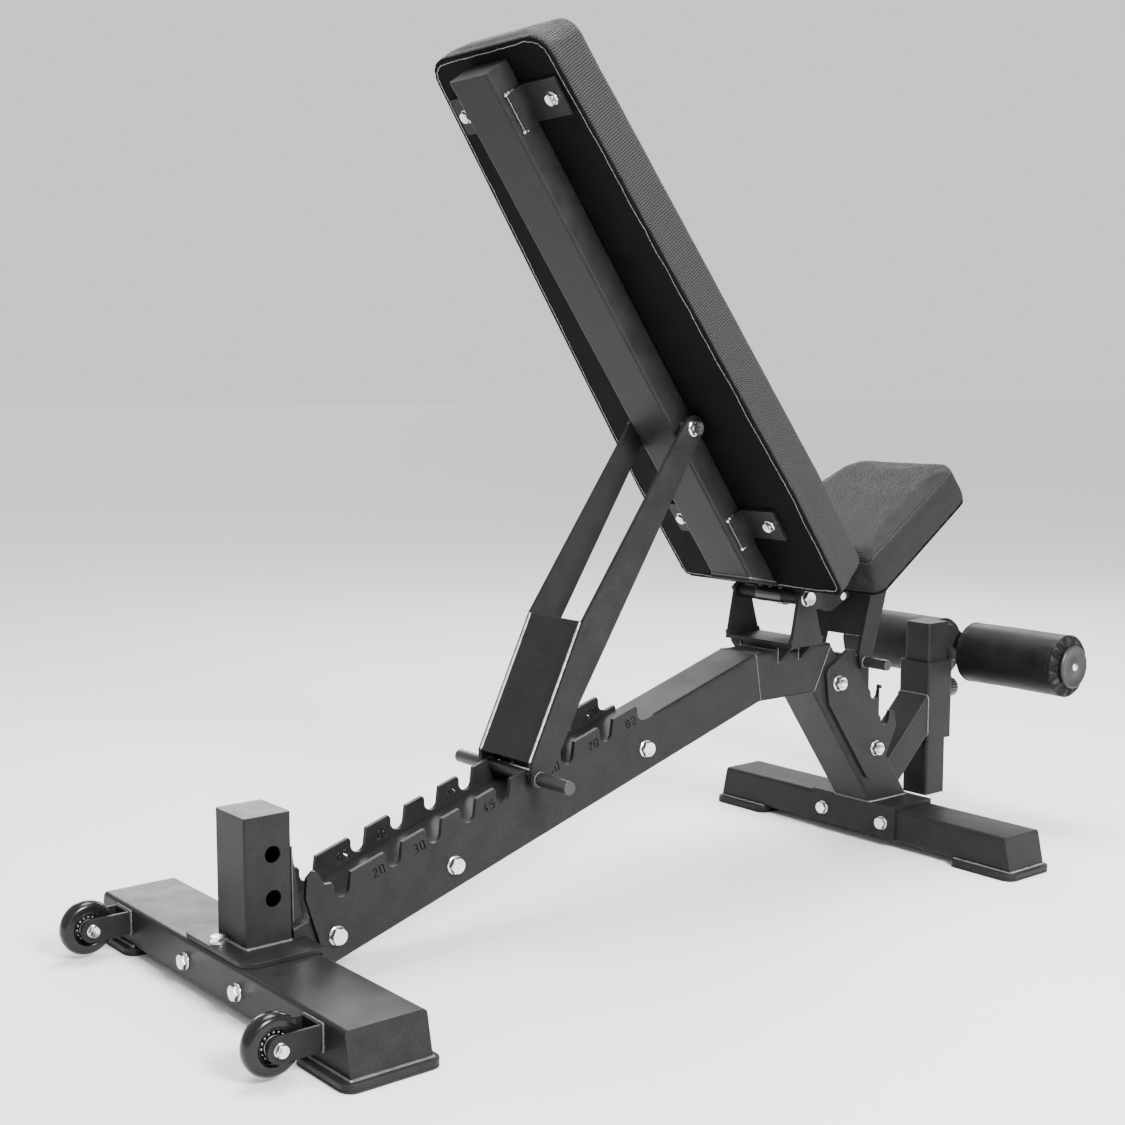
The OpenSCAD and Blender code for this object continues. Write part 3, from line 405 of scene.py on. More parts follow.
BACK_ANGLE, SEAT_ANGLE = 54.5, -26  # degrees about +Y at rest; a level pad is at 0
HINGE = centre("pivot_sleeve")
back_at = Matrix.Translation(HINGE) @ Matrix.Rotation(math.radians(BACK_ANGLE), 4, "Y")
seat_at = Matrix.Translation(HINGE) @ Matrix.Rotation(math.radians(SEAT_ANGLE), 4, "Y")


# ---- Fasteners ----

# Heights as shares of the thread's radius: the head above its flange, the nut, and the thread past the grip
HEAD, NUT, THREAD_END = 1.1, 1.6, 2.2
FLANGE, FLANGE_R = 2 * MM, 0.62
CORNER, FACE = 0.5774, 0.47  # a hexagon's corner and chamfer radius, as shares of its width over flats


def hexagon(across, cone):
    """Shapes a lathe's outer rings into a hexagon; cone(z) runs from 0 to 1 over the chamfer."""
    corner, face = across * CORNER, across * FACE

    def radius(r, ang, z):
        if r < across / 2 - 1e-9:
            return np.full(len(ang), r)
        flat = across / 2 / np.cos((ang % (math.pi / 3)) - math.pi / 6)
        return np.minimum(flat, corner - (corner - face) * max(0, cone(z)) ** 1.6)
    return radius


def bolt_head(b, at, r, across, flange=FLANGE_R):
    """A flanged hexagon head that stands on z = 0."""
    top, depth = HEAD * r + FLANGE, 2.2 * MM
    wide, corner, face = across * flange, across * CORNER, across * FACE
    b.lathe([(across * 0.3, 0), (wide - 0.3 * MM, 0), (wide, 0.4 * MM), (wide - 0.2 * MM, 1.1 * MM),
             (across * 0.54, FLANGE), (across * 0.3, FLANGE)], 48, at)
    prof = [(corner, 1.6 * MM), (corner, top - depth)]
    prof += [(corner, top - depth * (1 - q)) for q in (0.3, 0.6, 0.85)]
    prof += [(across * 0.499, top), (face - 0.6 * MM, top), (face * 0.7, top - 0.5 * MM),
             (0.2 * MM, top - 0.6 * MM)]
    b.lathe(prof, 72, at, radius=hexagon(across, lambda z: (z - top + depth) / depth))


def hex_nut(b, at, r, across):
    """A flanged nut that hangs from z = 0."""
    low, depth = -NUT * r, 1.8 * MM
    wide, corner = across * FLANGE_R, across * CORNER
    b.lathe([(r, 0), (wide, -0.3 * MM), (wide, -1.2 * MM), (across * 0.5, -FLANGE), (r, -FLANGE)], 48, at)
    prof = [(corner, -1.5 * MM), (corner, low + depth), (corner, low + 1.2 * MM), (corner, low + 0.6 * MM),
            (across * 0.4999, low), (r + 0.4 * MM, low), (r, low + 0.8 * MM), (r, -1.5 * MM)]
    b.lathe(prof, 72, at, closed=True, radius=hexagon(across, lambda z: (low + depth - z) / depth))


def shank(b, at, r, top, low):
    """A plain shank with a rolled thread over its lower end."""
    z, pitch = low + 3.2 * r, 1.25 * MM
    prof = [(0.2 * MM, top), (r, top), (r, z)]
    while z > low + pitch:
        prof += [(r - 0.35 * MM, z - pitch * 0.5), (r + 0.02 * MM, z - pitch)]
        z -= pitch
    prof += [(r - 0.9 * MM, low), (0.2 * MM, low)]
    b.lathe(prof[::-1], 32, at)


def fasteners(node, heads, r, across, extra=None):
    """Rebuilds a node's bolts with flanges, chamfers and threads; heads gives each axis its head's side."""
    b = Batch()
    spare = FLANGE + (HEAD + THREAD_END) * r
    for co in islands(node):
        lo, hi = co.min(0), co.max(0)
        size = hi - lo
        a = int(np.argmax(size))
        if a not in heads or size[a] < spare * 1.05:
            continue
        d = heads[a]
        axis, seat = np.zeros(3), (lo + hi) / 2
        axis[a] = d
        seat[a] = (hi[a] if d > 0 else lo[a]) - d * (HEAD * r + FLANGE)
        at, grip = along(axis, seat), size[a] - spare
        bolt_head(b, at, r, across)
        shank(b, at, r, 1 * MM, -grip - THREAD_END * r)
        hex_nut(b, at @ Matrix.Translation((0, 0, -grip)), r, across)
    if extra:
        extra(b)
    b.done(node + "_detailed", body_of[node], slot_of[node], replaces=[node], smooth=28)


def spacers(b):
    """The two spacers on the prop's bolt."""
    c = centre("prop_bolt")
    bore, wide, inner, outer, round_off = 6.1 * MM, 11 * MM, 40 * MM, 51.5 * MM, 0.4 * MM
    for s in (-1, 1):
        b.lathe([(bore, inner), (wide - round_off, inner), (wide, inner + round_off), (wide, outer - round_off),
                 (wide - round_off, outer), (bore, outer)], 40, along((0, s, 0), (c.x, 0, c.z)), closed=True)


fasteners("crossbar_bolts", {0: -1, 2: 1}, 5 * MM, 17 * MM)
fasteners("ladder_bolts", {1: -1}, 6 * MM, 19 * MM)
fasteners("hinge_bolt", {1: -1}, 6 * MM, 19 * MM)
fasteners("notch_bolts", {1: 1}, 6 * MM, 19 * MM)
fasteners("wheel_bolts", {1: -1}, 4 * MM, 13 * MM)
fasteners("prop_bolt", {1: -1}, 6 * MM, 19 * MM, spacers)
fasteners("lever_bolt", {1: -1}, 5 * MM, 17 * MM)

for node, at in (("back_tab_bolts", back_at), ("seat_tab_bolts", seat_at)):
    b, head = Batch(), 6.5 * MM
    for co in islands(node, at):
        lo, hi = co.min(0), co.max(0)
        x, y = (lo[:2] + hi[:2]) / 2
        spot = at @ Matrix.Translation((x, y, lo[2] + head)) @ Matrix.Rotation(math.pi, 4, "X")
        bolt_head(b, spot, 4.1 * MM, 14 * MM, 0.66)
        shank(b, spot, 4 * MM, 1 * MM, lo[2] + head - hi[2])
    b.done(node + "_detailed", body_of[node], slot_of[node], replaces=[node], smooth=28)


# ---- Wheels ----

def balls(b, at, ring, size, count):
    """A ring of bearing balls."""
    prof = [(size * math.sin(math.pi * q / 6) + 1e-6, -size * math.cos(math.pi * q / 6)) for q in range(7)]
    for i in range(count):
        a = 2 * math.pi * i / count
        b.lathe(prof, 12, at @ Matrix.Translation((ring * math.cos(a), ring * math.sin(a), 0)))


def mirrored(half):
    """A closed profile from its half below z = 0."""
    return half + [(r, -z) for r, z in half[::-1]]


for side in ("left", "right"):
    hub_node, tyre_node, body = f"wheel_hub_{side}", f"wheel_tyre_{side}", f"{side}_wheel"
    at = along((0, -1, 0), centre(hub_node))
    lo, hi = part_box(tyre_node)
    R, half = (hi.z - lo.z) / 2, (hi.y - lo.y) / 2
    inner, wall = 21 * MM, 0.8 * MM
    w = half - 3 * MM  # half the width of the hub's races

    bead = [(inner - 2.5 * MM, -half + 2.2 * MM), (inner - 1.5 * MM, -half + 0.6 * MM), (inner, -half)]
    tread = []
    for q in np.linspace(-90, 90, 25):
        c, s = abs(math.cos(math.radians(q))), math.sin(math.radians(q))
        tread.append((inner + wall + (R - inner - wall) * c ** 0.62, half * s * (0.97 + 0.03 * c)))
    tyre = Batch()
    tyre.lathe(bead + tread + [(r, -z) for r, z in bead[::-1]], 96, at, closed=True)
    tyre.done(f"tyre_{side}", body, "tyre_rubber", replaces=[tyre_node], smooth=40)

    hub = Batch()
    hub.lathe([(17.2 * MM, -w), (18.3 * MM, -w - 0.5 * MM), (19 * MM, -w), (19 * MM, w),
               (18.3 * MM, w + 0.5 * MM), (17.2 * MM, w), (16.6 * MM, w - 2 * MM), (16.6 * MM, 2 * MM - w)],
              64, at, closed=True)
    hub.lathe(mirrored([(4.05 * MM, -half - 2 * MM), (7 * MM, -half - 2 * MM), (7.6 * MM, -half - 1.4 * MM),
                        (7.6 * MM, -w), (11.5 * MM, -w), (12.2 * MM, -w + 0.7 * MM)]), 64, at, closed=True)
    for s in (-1, 1):
        balls(hub, at @ Matrix.Translation((0, 0, s * (w - 2.6 * MM))), 14.4 * MM, 2.1 * MM, 16)
    hub.done(f"hub_{side}", body, "hub_steel", replaces=[hub_node], smooth=35)

    dark = Batch()
    dark.lathe(mirrored([(12.0 * MM, 5 * MM - w), (16.8 * MM, 5 * MM - w)]), 48, at, closed=True)
    dark.done(f"race_shadow_{side}", body, "tyre_rubber", material=painted_shade)


# ---- Clamp knob ----

def knob():
    """The clamp screw's knob: a collar, a neck and eighteen shallow scallops round the grip."""
    lo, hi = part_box("clamp_knob")
    R, x = (hi.z - lo.z) / 2, hi.x

    def ribbed(r, ang, z):
        if r < R * 0.8:
            return np.full(len(ang), r)
        return r - 0.055 * R * (1 - abs(np.cos(ang * 9)) ** 0.7)

    b = Batch()
    b.lathe([(3 * MM, lo.x), (5.9 * MM, lo.x + 0.6 * MM), (5.9 * MM, x - 35 * MM), (9.8 * MM, x - 35 * MM),
             (9.8 * MM, x - 26 * MM), (12.5 * MM, x - 24.5 * MM), (R * 0.95, x - 23.5 * MM), (R, x - 22 * MM),
             (R, x - 3 * MM), (R * 0.96, x - 1 * MM), (R * 0.85, x - 0.2 * MM), (R * 0.7, x),
             (R * 0.45, x - 0.6 * MM), (R * 0.42, x - 1.2 * MM), (0.3 * MM, x - 1.2 * MM)],
            144, along((1, 0, 0), (0, 0, (lo.z + hi.z) / 2)), radius=ribbed)
    b.done("knob_detailed", "clamp_screw", "knob_plastic", replaces=["clamp_knob"], smooth=35)


knob()


# ---- Rollers ----

def roller(side, sign):
    """A foam roller's cover, gathered over both ends, with a ring of stitches near each."""
    node, body = f"roller_foam_{side}", f"{side}_roller"
    lo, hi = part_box(node)
    c = (lo + hi) / 2
    R, L = (hi.z - lo.z) / 2, hi.y - lo.y
    at = along((0, sign, 0), (c.x, lo.y if sign > 0 else hi.y, c.z))
    seg, pleats, hem, lip = 360, 13, 18 * MM, 0.2 * MM
    ang = np.linspace(0, 2 * math.pi, seg, endpoint=False)
    phase = np.random.default_rng(3 + sign).uniform(0, 6.28)
    warp = 0.22 * np.sin(ang * 2 + phase) + 0.12 * np.sin(ang * 5 + 1.3)
    turn = ang * pleats + warp * pleats * 0.35
    fold = np.cos(turn)
    sharp = 1 - abs(np.sin(turn / 2)) ** 0.7

    def gathered(z_end, inward):
        """Radii and heights of the cover's end, from the hem in to the disc."""
        out = []
        for q in np.linspace(0, 1, 22):
            r0 = R - 0.4 * MM - (R - 26 * MM) * q ** 1.15
            swell = math.sin(math.pi * min(1, q * 1.15)) ** 0.8
            depth = swell * (3.6 * MM * fold - 2.4 * MM * sharp)
            dome = 6.6 * MM * (1 - (1 - q) ** 2.2)
            out.append((r0 + depth * 0.22, z_end + inward * (7.6 * MM - dome - depth * 0.9)))
        return out

    skin = [(r, np.maximum(z, lip)) for r, z in gathered(0.0, 1)[::-1]]
    for z in np.linspace(9 * MM, L - 9 * MM, 40):
        slack = 0.5 * MM * np.sin(ang * 3 + z * 26 + phase) * math.sin(math.pi * z / L)
        pull = 0.9 * MM * fold * (math.exp(-(z / hem) * 1.6) + math.exp(-((L - z) / hem) * 1.6))
        skin.append((R - 1.0 * MM + slack + pull, np.full(seg, z)))
    skin += [(r, np.minimum(z, L - lip)) for r, z in gathered(L, -1)]
    cover = Batch()
    cover.rings([np.c_[r * np.cos(ang), r * np.sin(ang), z] for r, z in skin], at)
    o = cover.done(f"roller_cover_{side}", body, "roller_vinyl", replaces=[node], smooth=60)

    stitch = [(0.05 * MM, -0.1 * MM), (0.35 * MM, -0.05 * MM), (0.4 * MM, 0), (0.35 * MM, 0.05 * MM),
              (0.05 * MM, 0.1 * MM)]
    lay = Matrix.Rotation(math.pi / 2, 4, "Y") @ Matrix.Diagonal((1, 3.4, 1, 1))
    count = 96
    for m, z in enumerate((hem * 0.75, L - hem * 0.75)):
        line = Batch()
        for i in range(count):
            a = 2 * math.pi * (i + 0.5) / count
            r = R - 0.85 * MM + 0.27 * MM * float(np.interp(a, ang, fold))
            spot = at @ Matrix.Translation((r * math.cos(a), r * math.sin(a), z)) @ Matrix.Rotation(a, 4, "Z")
            line.lathe(stitch, 6, spot @ lay)
        line.done(f"roller_stitches_{side}_{m}", body, "roller_vinyl", material=thread_black)


def roller_ends():
    """The disc and the screw that close each roller's outer end."""
    discs, screws = Batch(), Batch()
    c = centre("roller_caps")
    lo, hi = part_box("roller_caps")
    R = (hi.z - lo.z) / 2
    for s, y in ((1, hi.y), (-1, lo.y)):
        at = along((0, s, 0), (c.x, y - s * 7.5 * MM, c.z))
        discs.lathe([(4 * MM, 0), (R - 1 * MM, 0), (R, 1.2 * MM), (R, 3.4 * MM), (R - 1.4 * MM, 4.8 * MM),
                     (R - 4 * MM, 5 * MM), (R - 5 * MM, 4.5 * MM), (12 * MM, 4.3 * MM), (10 * MM, 5 * MM),
                     (4 * MM, 5 * MM)], 96, at)
        screws.lathe([(0.5 * MM, 4.6 * MM), (6 * MM, 4.6 * MM), (5.8 * MM, 5.6 * MM), (4.8 * MM, 6.8 * MM),
                      (2.9 * MM, 7.4 * MM), (2.6 * MM, 7.4 * MM), (2.5 * MM, 5.8 * MM), (0.3 * MM, 5.6 * MM)],
                     48, at)
    discs.done("roller_end_discs", "roller_carriage", "cap_plastic", replaces=["roller_caps"], smooth=35)
    screws.done("roller_end_screws", "roller_carriage", "zinc_plate", smooth=35)


roller("left", 1)
roller("right", -1)
roller_ends()


# ---- Pads ----

def inset(loop, d):
    return loop - outward(loop) * d


def unit_rows(a):
    return a / (np.linalg.norm(a, axis=1)[:, None] + 1e-9)


def evaluated(o):
    dg = bpy.context.evaluated_depsgraph_get()
    dg.update()
    return bpy.data.meshes.new_from_object(o.evaluated_get(dg))


def applied(o):
    """Applies an object's modifiers and returns its new mesh."""
    me = evaluated(o)
    o.modifiers.clear()
    o.data = me
    return me


def verts(me):
    co = np.zeros(len(me.vertices) * 3, np.float32)
    me.vertices.foreach_get("co", co)
    return co.reshape(-1, 3).astype(float)


def put(me, v):
    me.vertices.foreach_set("co", v.astype(np.float32).ravel())
    me.update()


def kd_tree(points):
    kd = KDTree(len(points))
    for i, p in enumerate(points):
        kd.insert((*p, 0) if len(p) == 2 else p, i)
    kd.balance()
    return kd


def bends(n):
    """How far an outline's normals turn over three points."""
    return np.arccos(np.clip((n * np.roll(n, 3, 0)).sum(1), -1, 1))


def corner_share(v, plan):
    """How near each point is to a rounded corner of the outline, from 0 to 1."""
    kd = kd_tree(plan[bends(outward(plan)) > 0.08])
    far = np.array([kd.find((x, y, 0))[2] for x, y in v[:, :2]])
    return np.clip(1 - (far - 10 * MM) / (14 * MM), 0, 1)


def blank(name, plan, z0, z1, edge, margin):
    """The pad before it swells: stacked insets of its outline, remeshed into an even cloth."""
    top = z0 + (z1 - z0 - margin)
    steps = [(-0.8 * MM, z0), (-0.8 * MM, z0 + 16 * MM), (margin - 1.2 * MM, z0 + 24 * MM)]
    for q in np.radians(np.linspace(0, 90, 7)):
        steps.append((margin + edge * (1 - math.cos(q)), top - edge + edge * math.sin(q)))
    steps += [(margin + edge * 2.2, top + 0.6 * MM), (margin + edge * 4, top + 1.0 * MM)]
    shape = Batch()
    shape.rings([np.c_[inset(plan, d), np.full(len(plan), z)] for d, z in steps])
    me = bpy.data.meshes.new(name)
    me.from_pydata(np.concatenate(shape.v).tolist(), [], shape.f)
    o = bpy.data.objects.new(name, me)
    scene.collection.objects.link(o)
    grid = o.modifiers.new("remesh", "REMESH")
    grid.mode = "VOXEL"
    grid.voxel_size = 0.005
    even = o.modifiers.new("smooth", "SMOOTH")
    even.factor, even.iterations = 0.5, 4
    applied(o)
    return o


def swell(o, foot, pressure, most):
    """Inflates the cloth from its blank by at most a set distance; it is held below foot."""
    rest = verts(o.data)
    o.vertex_groups.new(name="held").add(np.where(rest[:, 2] < foot)[0].tolist(), 1.0, "REPLACE")
    c = o.modifiers.new("cloth", "CLOTH")
    c.settings.quality = 6
    c.settings.mass = 0.25
    c.settings.tension_stiffness = 18
    c.settings.compression_stiffness = 18
    c.settings.bending_stiffness = 0.6
    c.settings.use_pressure = True
    c.settings.uniform_pressure_force = pressure
    c.settings.effector_weights.gravity = 0
    c.settings.vertex_group_mass = "held"
    c.point_cache.frame_start, c.point_cache.frame_end = 1, 20
    for f in range(1, 21):
        scene.frame_set(f)
    d = verts(evaluated(o)) - rest
    o.modifiers.clear()
    d *= np.minimum(1, most / (np.linalg.norm(d, axis=1)[:, None] + 1e-9))
    put(o.data, rest + d)
    scene.frame_set(1)


def cushion(name, node, board, at, body, slot, edge, seam, pressure, margin):
    """A foam pad in its cover: an inflated cloth over the pad's own outline."""
    co = coords(node, at)
    z0, z1 = coords(board, at)[:, 2].min() + 0.9 * MM, co[:, 2].max()
    plan = resample(hull2(co[:, :2]), 3.0 * MM)
    o = blank(name, plan, z0, z1, edge, margin)
    swell(o, co[:, 2].min() - 4 * MM, pressure, 3.2 * MM)
    sub = o.modifiers.new("sub", "SUBSURF")
    sub.levels = sub.render_levels = 1
    me = applied(o)
    v = verts(me)
    # The upper edge is rounded off a little more at the hinge end, where the pads meet
    end = plan[np.argmin(np.abs(plan[:, 0])), 0]
    near = np.clip(1 - np.abs(v[:, 0] - end) / (30 * MM), 0, 1)
    near *= np.clip((v[:, 2] - z1 + 26 * MM) / (26 * MM), 0, 1.1)
    v[:, 0] += np.sign(end) * 4 * MM * near
    v[:, 2] -= 2 * MM * near
    # The seam's path on the pad's face, found by looking down on it
    tree = BVHTree.FromPolygons(v.tolist(), [list(p.vertices) for p in me.polygons])

    def face(x, y):
        return tree.ray_cast(Vector((x, y, z1 + 0.05)), Vector((0, 0, -1)))[0]

    path = np.array([tuple(face(x, y) or (x, y, z1)) for x, y in resample(inset(plan, seam), 1.2 * MM)])
    groove(v, path, 2.0 * MM, 1.4 * MM)
    # Small puckers where the cover turns in round the corners
    turn = np.clip((z0 + 16 * MM - v[:, 2]) / (16 * MM), 0, 1) * corner_share(v, plan)
    ang = np.arctan2(v[:, 1], v[:, 0] - v[:, 0].mean())
    pull = turn * 0.8 * MM * (0.5 + 0.5 * np.sin(ang * 150))
    v[:, :2] -= unit_rows(v[:, :2] - v[:, :2].mean(0)) * pull[:, None]
    put(me, v)
    lay_out(me, plan)
    me.polygons.foreach_set("use_smooth", [True] * len(me.polygons))
    me.materials.clear()
    me.materials.append(MATS[slot])
    o.matrix_world = at
    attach(o, body)
    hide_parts(node)
    # The welt in the seam, and stitches beside it
    welt = Batch()
    welt.bead(path + np.array([0, 0, -1.3 * MM]), 0.8 * MM, True, pitch=60)
    welt.done(name + "_welt", body, slot, material=thread_black, matrix=at, smooth=80)
    stitches = Batch()
    stitch = [(0.05 * MM, -1.5 * MM), (0.3 * MM, -1.2 * MM), (0.36 * MM, 0), (0.3 * MM, 1.2 * MM),
              (0.05 * MM, 1.5 * MM)]
    inner = resample(inset(plan, seam + 2.6 * MM), 4.2 * MM)
    for (x, y), (x2, y2) in zip(inner, np.roll(inner, -1, 0)):
        hit = face(x, y)
        if hit:
            m = Matrix.Translation(hit + Vector((0, 0, 0.05 * MM)))
            m = m @ Matrix.Rotation(math.atan2(y2 - y, x2 - x), 4, "Z") @ Matrix.Rotation(math.pi / 2, 4, "Y")
            stitches.lathe(stitch, 6, m)
    stitches.done(name + "_stitches", body, slot, material=thread_black, matrix=at, smooth=60)
    cover_fold(name + "_turned_edge", plan, z0, at, body, slot)


def groove(v, path, width, depth):
    """Presses a narrow channel into the surface along a path."""
    kd = kd_tree(path)
    for i in range(len(v)):
        d = kd.find(v[i])[2]
        if d < 3 * width:
            v[i, 2] -= depth * math.exp(-(d / width) ** 2)


def lay_out(me, plan):
    """UVs in metres: the face from above, the sides by distance round the edge."""
    v = verts(me)
    fine = resample(plan, 0.2 * MM)
    seg = np.linalg.norm(np.roll(fine, -1, 0) - fine, axis=1)
    arc = np.concatenate([[0], np.cumsum(seg)[:-1]])
    kd = kd_tree(fine)
    near = np.array([arc[kd.find((x, y, 0))[1]] for x, y in v[:, :2]])
    uv = me.uv_layers.new(name="cloth")
    out = np.zeros((len(me.loops), 2), np.float32)
    total = seg.sum()
    for p in me.polygons:
        if abs(p.normal.z) > 0.6:
            for li, vi in zip(p.loop_indices, p.vertices):
                out[li] = v[vi, 0], v[vi, 1]
        else:
            a = [near[vi] for vi in p.vertices]
            wrap = max(a) - min(a) > total / 2
            for li, vi, s in zip(p.loop_indices, p.vertices, a):
                out[li] = (s + total if wrap and s < total / 2 else s), v[vi, 2]
    uv.data.foreach_set("uv", out.ravel())


def cover_fold(name, plan, z0, at, body, slot):
    """The cover's edge, turned in behind the board, with its cut edge showing."""
    plan = resample(inset(plan, 0.7 * MM), 2.5 * MM)
    n = outward(plan)
    rng = np.random.default_rng(5)
    wave = np.convolve(rng.uniform(-1, 1, len(plan) + 14), np.ones(15) / 15, "valid") * 4.5 * MM
    pucker = np.clip(bends(n) * 4, 0, 1) * np.sin(np.arange(len(plan)) * 1.3)
    # Millimetres out from the outline and up from the board; points 5 to 7 are the cut edge
    section = [(-0.6, 1.2), (0.1, 0.3), (0.0, -0.7), (-0.8, -1.4), (-3.0, -1.6), (-5.2, -1.6), (-5.7, -1.3),
               (-5.7, -0.7), (-3.0, -0.8), (-1.2, 0.0), (-1.2, 1.2)]
    rings = []
    for i in range(len(plan)):
        r = []
        for k, (d, z) in enumerate(section):
            w = wave[i] if 5 <= k <= 7 else 0
            lift = 0.5 * MM * pucker[i] if 2 <= k <= 6 else 0
            x, y = plan[i] + n[i] * (d * MM + w)
            r.append((x, y, z0 + z * MM - lift))
        rings.append(np.array(r))
    b = Batch()
    b.rings(rings, closed=True)
    b.done(name, body, "board_coat", matrix=at, smooth=50)
    line = Batch()
    line.bead([r[6] for r in rings], 0.5 * MM, True, pitch=9)
    line.done(name + "_cut", body, slot, material=raw_edge, matrix=at, smooth=70)


cushion("back_cushion", "back_pad", "back_board", back_at, "backrest", "back_vinyl",
        edge=11 * MM, seam=12 * MM, pressure=4.0, margin=1.4 * MM)
cushion("seat_cushion", "seat_pad", "seat_board", seat_at, "seat", "seat_vinyl",
        edge=6 * MM, seam=7 * MM, pressure=3.5, margin=1.6 * MM)


# ---- Welds ----

UP = (0, 0, 1)
LEG_ANGLE, PLATE_ANGLE = math.radians(54.6), math.radians(10)  # the front leg's and the base plate's lean
YOKE_HALF, POST_HALF = 37.5 * MM, 18 * MM  # half widths of the hinge yoke and the roller post's weld lines


def line(b, pts, r, seed, at=None, **more):
    """An open bead through points, which may be given in a pad's own frame."""
    pts = np.array(pts, float)
    if at is not None:
        a = np.array(at, float)
        pts = pts @ a[:3, :3].T + a[:3, 3]
    b.bead(pts, r, closed=False, seed=seed, **more)


def hoop(b, c, y, radius, r, seed):
    """A bead round a rod that lies along Y."""
    t = np.linspace(0, 2 * math.pi, 40, endpoint=False)
    b.bead(np.c_[c.x + radius * np.cos(t), np.full(40, y), c.z + radius * np.sin(t)], r, seed=seed)


def tabs(node, at, gap):
    """Each tab's corners, its side and the line just outside its inner face."""
    for co in islands(node, at):
        lo, hi = co.min(0), co.max(0)
        s = 1 if lo[1] > 0 else -1
        yield lo, hi, s, s * (min(abs(lo[1]), abs(hi[1])) + gap)


def frame_welds(b):
    lo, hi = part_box("rear_post")
    b.bead(rim("rear_post", (0, 0, lo.z), UP), 2.6 * MM, seed=1)
    for node in ("rear_crossbar", "front_crossbar"):
        lo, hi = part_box(node)
        x0, x1, z = lo.x - 0.5 * MM, hi.x + 0.5 * MM, lo.z + 0.6 * MM
        for s in (-1, 1):
            inner, outer = s * (hi.y - 100 * MM), s * hi.y
            line(b, [(x0, inner, z), (x0, outer, z), (x1, outer, z), (x1, inner, z)], 2.3 * MM, 2)
    for co in islands("wheel_brackets"):
        lo, hi = co.min(0), co.max(0)
        x = hi[0] - 0.4 * MM
        b.bead([(x, lo[1], lo[2]), (x, hi[1], lo[2]), (x, hi[1], hi[2]), (x, lo[1], hi[2])], 1.9 * MM, seed=3)
    # The hump's two mitred ends
    hump = coords("hump_tube")
    top, low = hump[:, 2].max(), hump[:, 2].min()
    upper, under = hump[hump[:, 2] > top - 0.2 * MM], hump[hump[:, 2] < low + 0.2 * MM]
    for pick in (np.min, np.max):
        x0, x1 = pick(upper[:, 0]), pick(under[:, 0])
        middle, across = ((x0 + x1) / 2, 0, (top + low) / 2), np.array([top - low, 0, x1 - x0])
        b.bead(rim("hump_tube", middle, across, 0.6 * MM), 0.75 * MM, pitch=1.6, seed=4)
    lo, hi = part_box("front_leg")
    b.bead(rim("front_leg", (0, 0, lo.z), UP), 2.2 * MM, seed=5)
    lo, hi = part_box("arm_tube")
    b.bead(rim("arm_tube", (hi.x, 0, 0), (1, 0, 0)), 1.8 * MM, seed=6)
    leg = np.array((math.sin(LEG_ANGLE), 0, math.cos(LEG_ANGLE)))
    b.bead(rim("arm_tube", leg * (coords("arm_tube") @ leg).min(), leg, 0.5 * MM), 1.8 * MM, seed=7)
    for co in islands("yoke_supports"):
        lo, hi = co.min(0), co.max(0)
        if hi[1] - lo[1] > 50 * MM:
            b.bead([(lo[0], lo[1], lo[2]), (hi[0], lo[1], lo[2]), (hi[0], hi[1], lo[2]), (lo[0], hi[1], lo[2])],
                   1.5 * MM, seed=8)
            continue
        y = (YOKE_HALF + 0.4 * MM) * (1 if lo[1] > 0 else -1)
        for x in (lo[0], hi[0]):
            line(b, [(x, y, lo[2]), (x, y, hi[2] - 1 * MM)], 1.5 * MM, 9)
    lo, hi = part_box("hinge_yoke")
    for s in (-1, 1):
        line(b, [(lo.x + 3 * MM, s * YOKE_HALF, lo.z), (hi.x - 3 * MM, s * YOKE_HALF, lo.z)], 1.3 * MM, 10)
    lo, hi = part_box("post_gussets")
    for s in (-1, 1):
        line(b, [(lo.x + 1 * MM, s * hi.y, lo.z), (lo.x + 0.3 * MM, s * hi.y, hi.z)], 0.9 * MM, 12)


def backrest_welds(b):
    for lo, hi, s, y in tabs("back_tabs", back_at, 1.5 * MM):
        x0, x1, z = lo[0] - 0.3 * MM, hi[0] + 0.3 * MM, lo[2] - 0.2 * MM
        line(b, [(x0, y, lo[2] + 14 * MM), (x0, y, z), (x1, y, z)], 1.5 * MM, 13, back_at)
    lean = (math.sin(PLATE_ANGLE), 0, math.cos(PLATE_ANGLE))
    b.bead(rim("back_tube", centre("base_plate") + Vector(lean) * 3 * MM, lean, 0.6 * MM), 1.5 * MM, seed=14)
    x, z = HINGE.x - 6 * MM, HINGE.z + 11.6 * MM
    for y in (-20, 0, 20):
        line(b, [(x, (y - 4) * MM, z), (x, (y + 4) * MM, z)], 1.5 * MM, 15)


def prop_welds(b, rod):
    web = coords("prop_web")
    pts = np.unique(np.round(web[:, [0, 2]], 6), axis=0)
    pts = pts[np.argsort(-pts[:, 1])]
    # The rear one of the two highest and of the two lowest corners
    top, low = [pair[np.argmin(pair[:, 0])] for pair in (pts[:2], pts[-2:])]
    for s in (-1, 1):
        y = s * (web[:, 1].max() + 0.2 * MM)
        line(b, [(top[0] - 0.3 * MM, y, top[1]), (low[0] - 0.3 * MM, y, low[1])], 2.0 * MM, 16)
    lo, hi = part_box("prop_arms")
    for s in (-1, 1):
        for y in (hi.y, hi.y - 6 * MM):
            hoop(rod, centre("prop_rod"), s * y, 9.2 * MM, 1.3 * MM, 17)


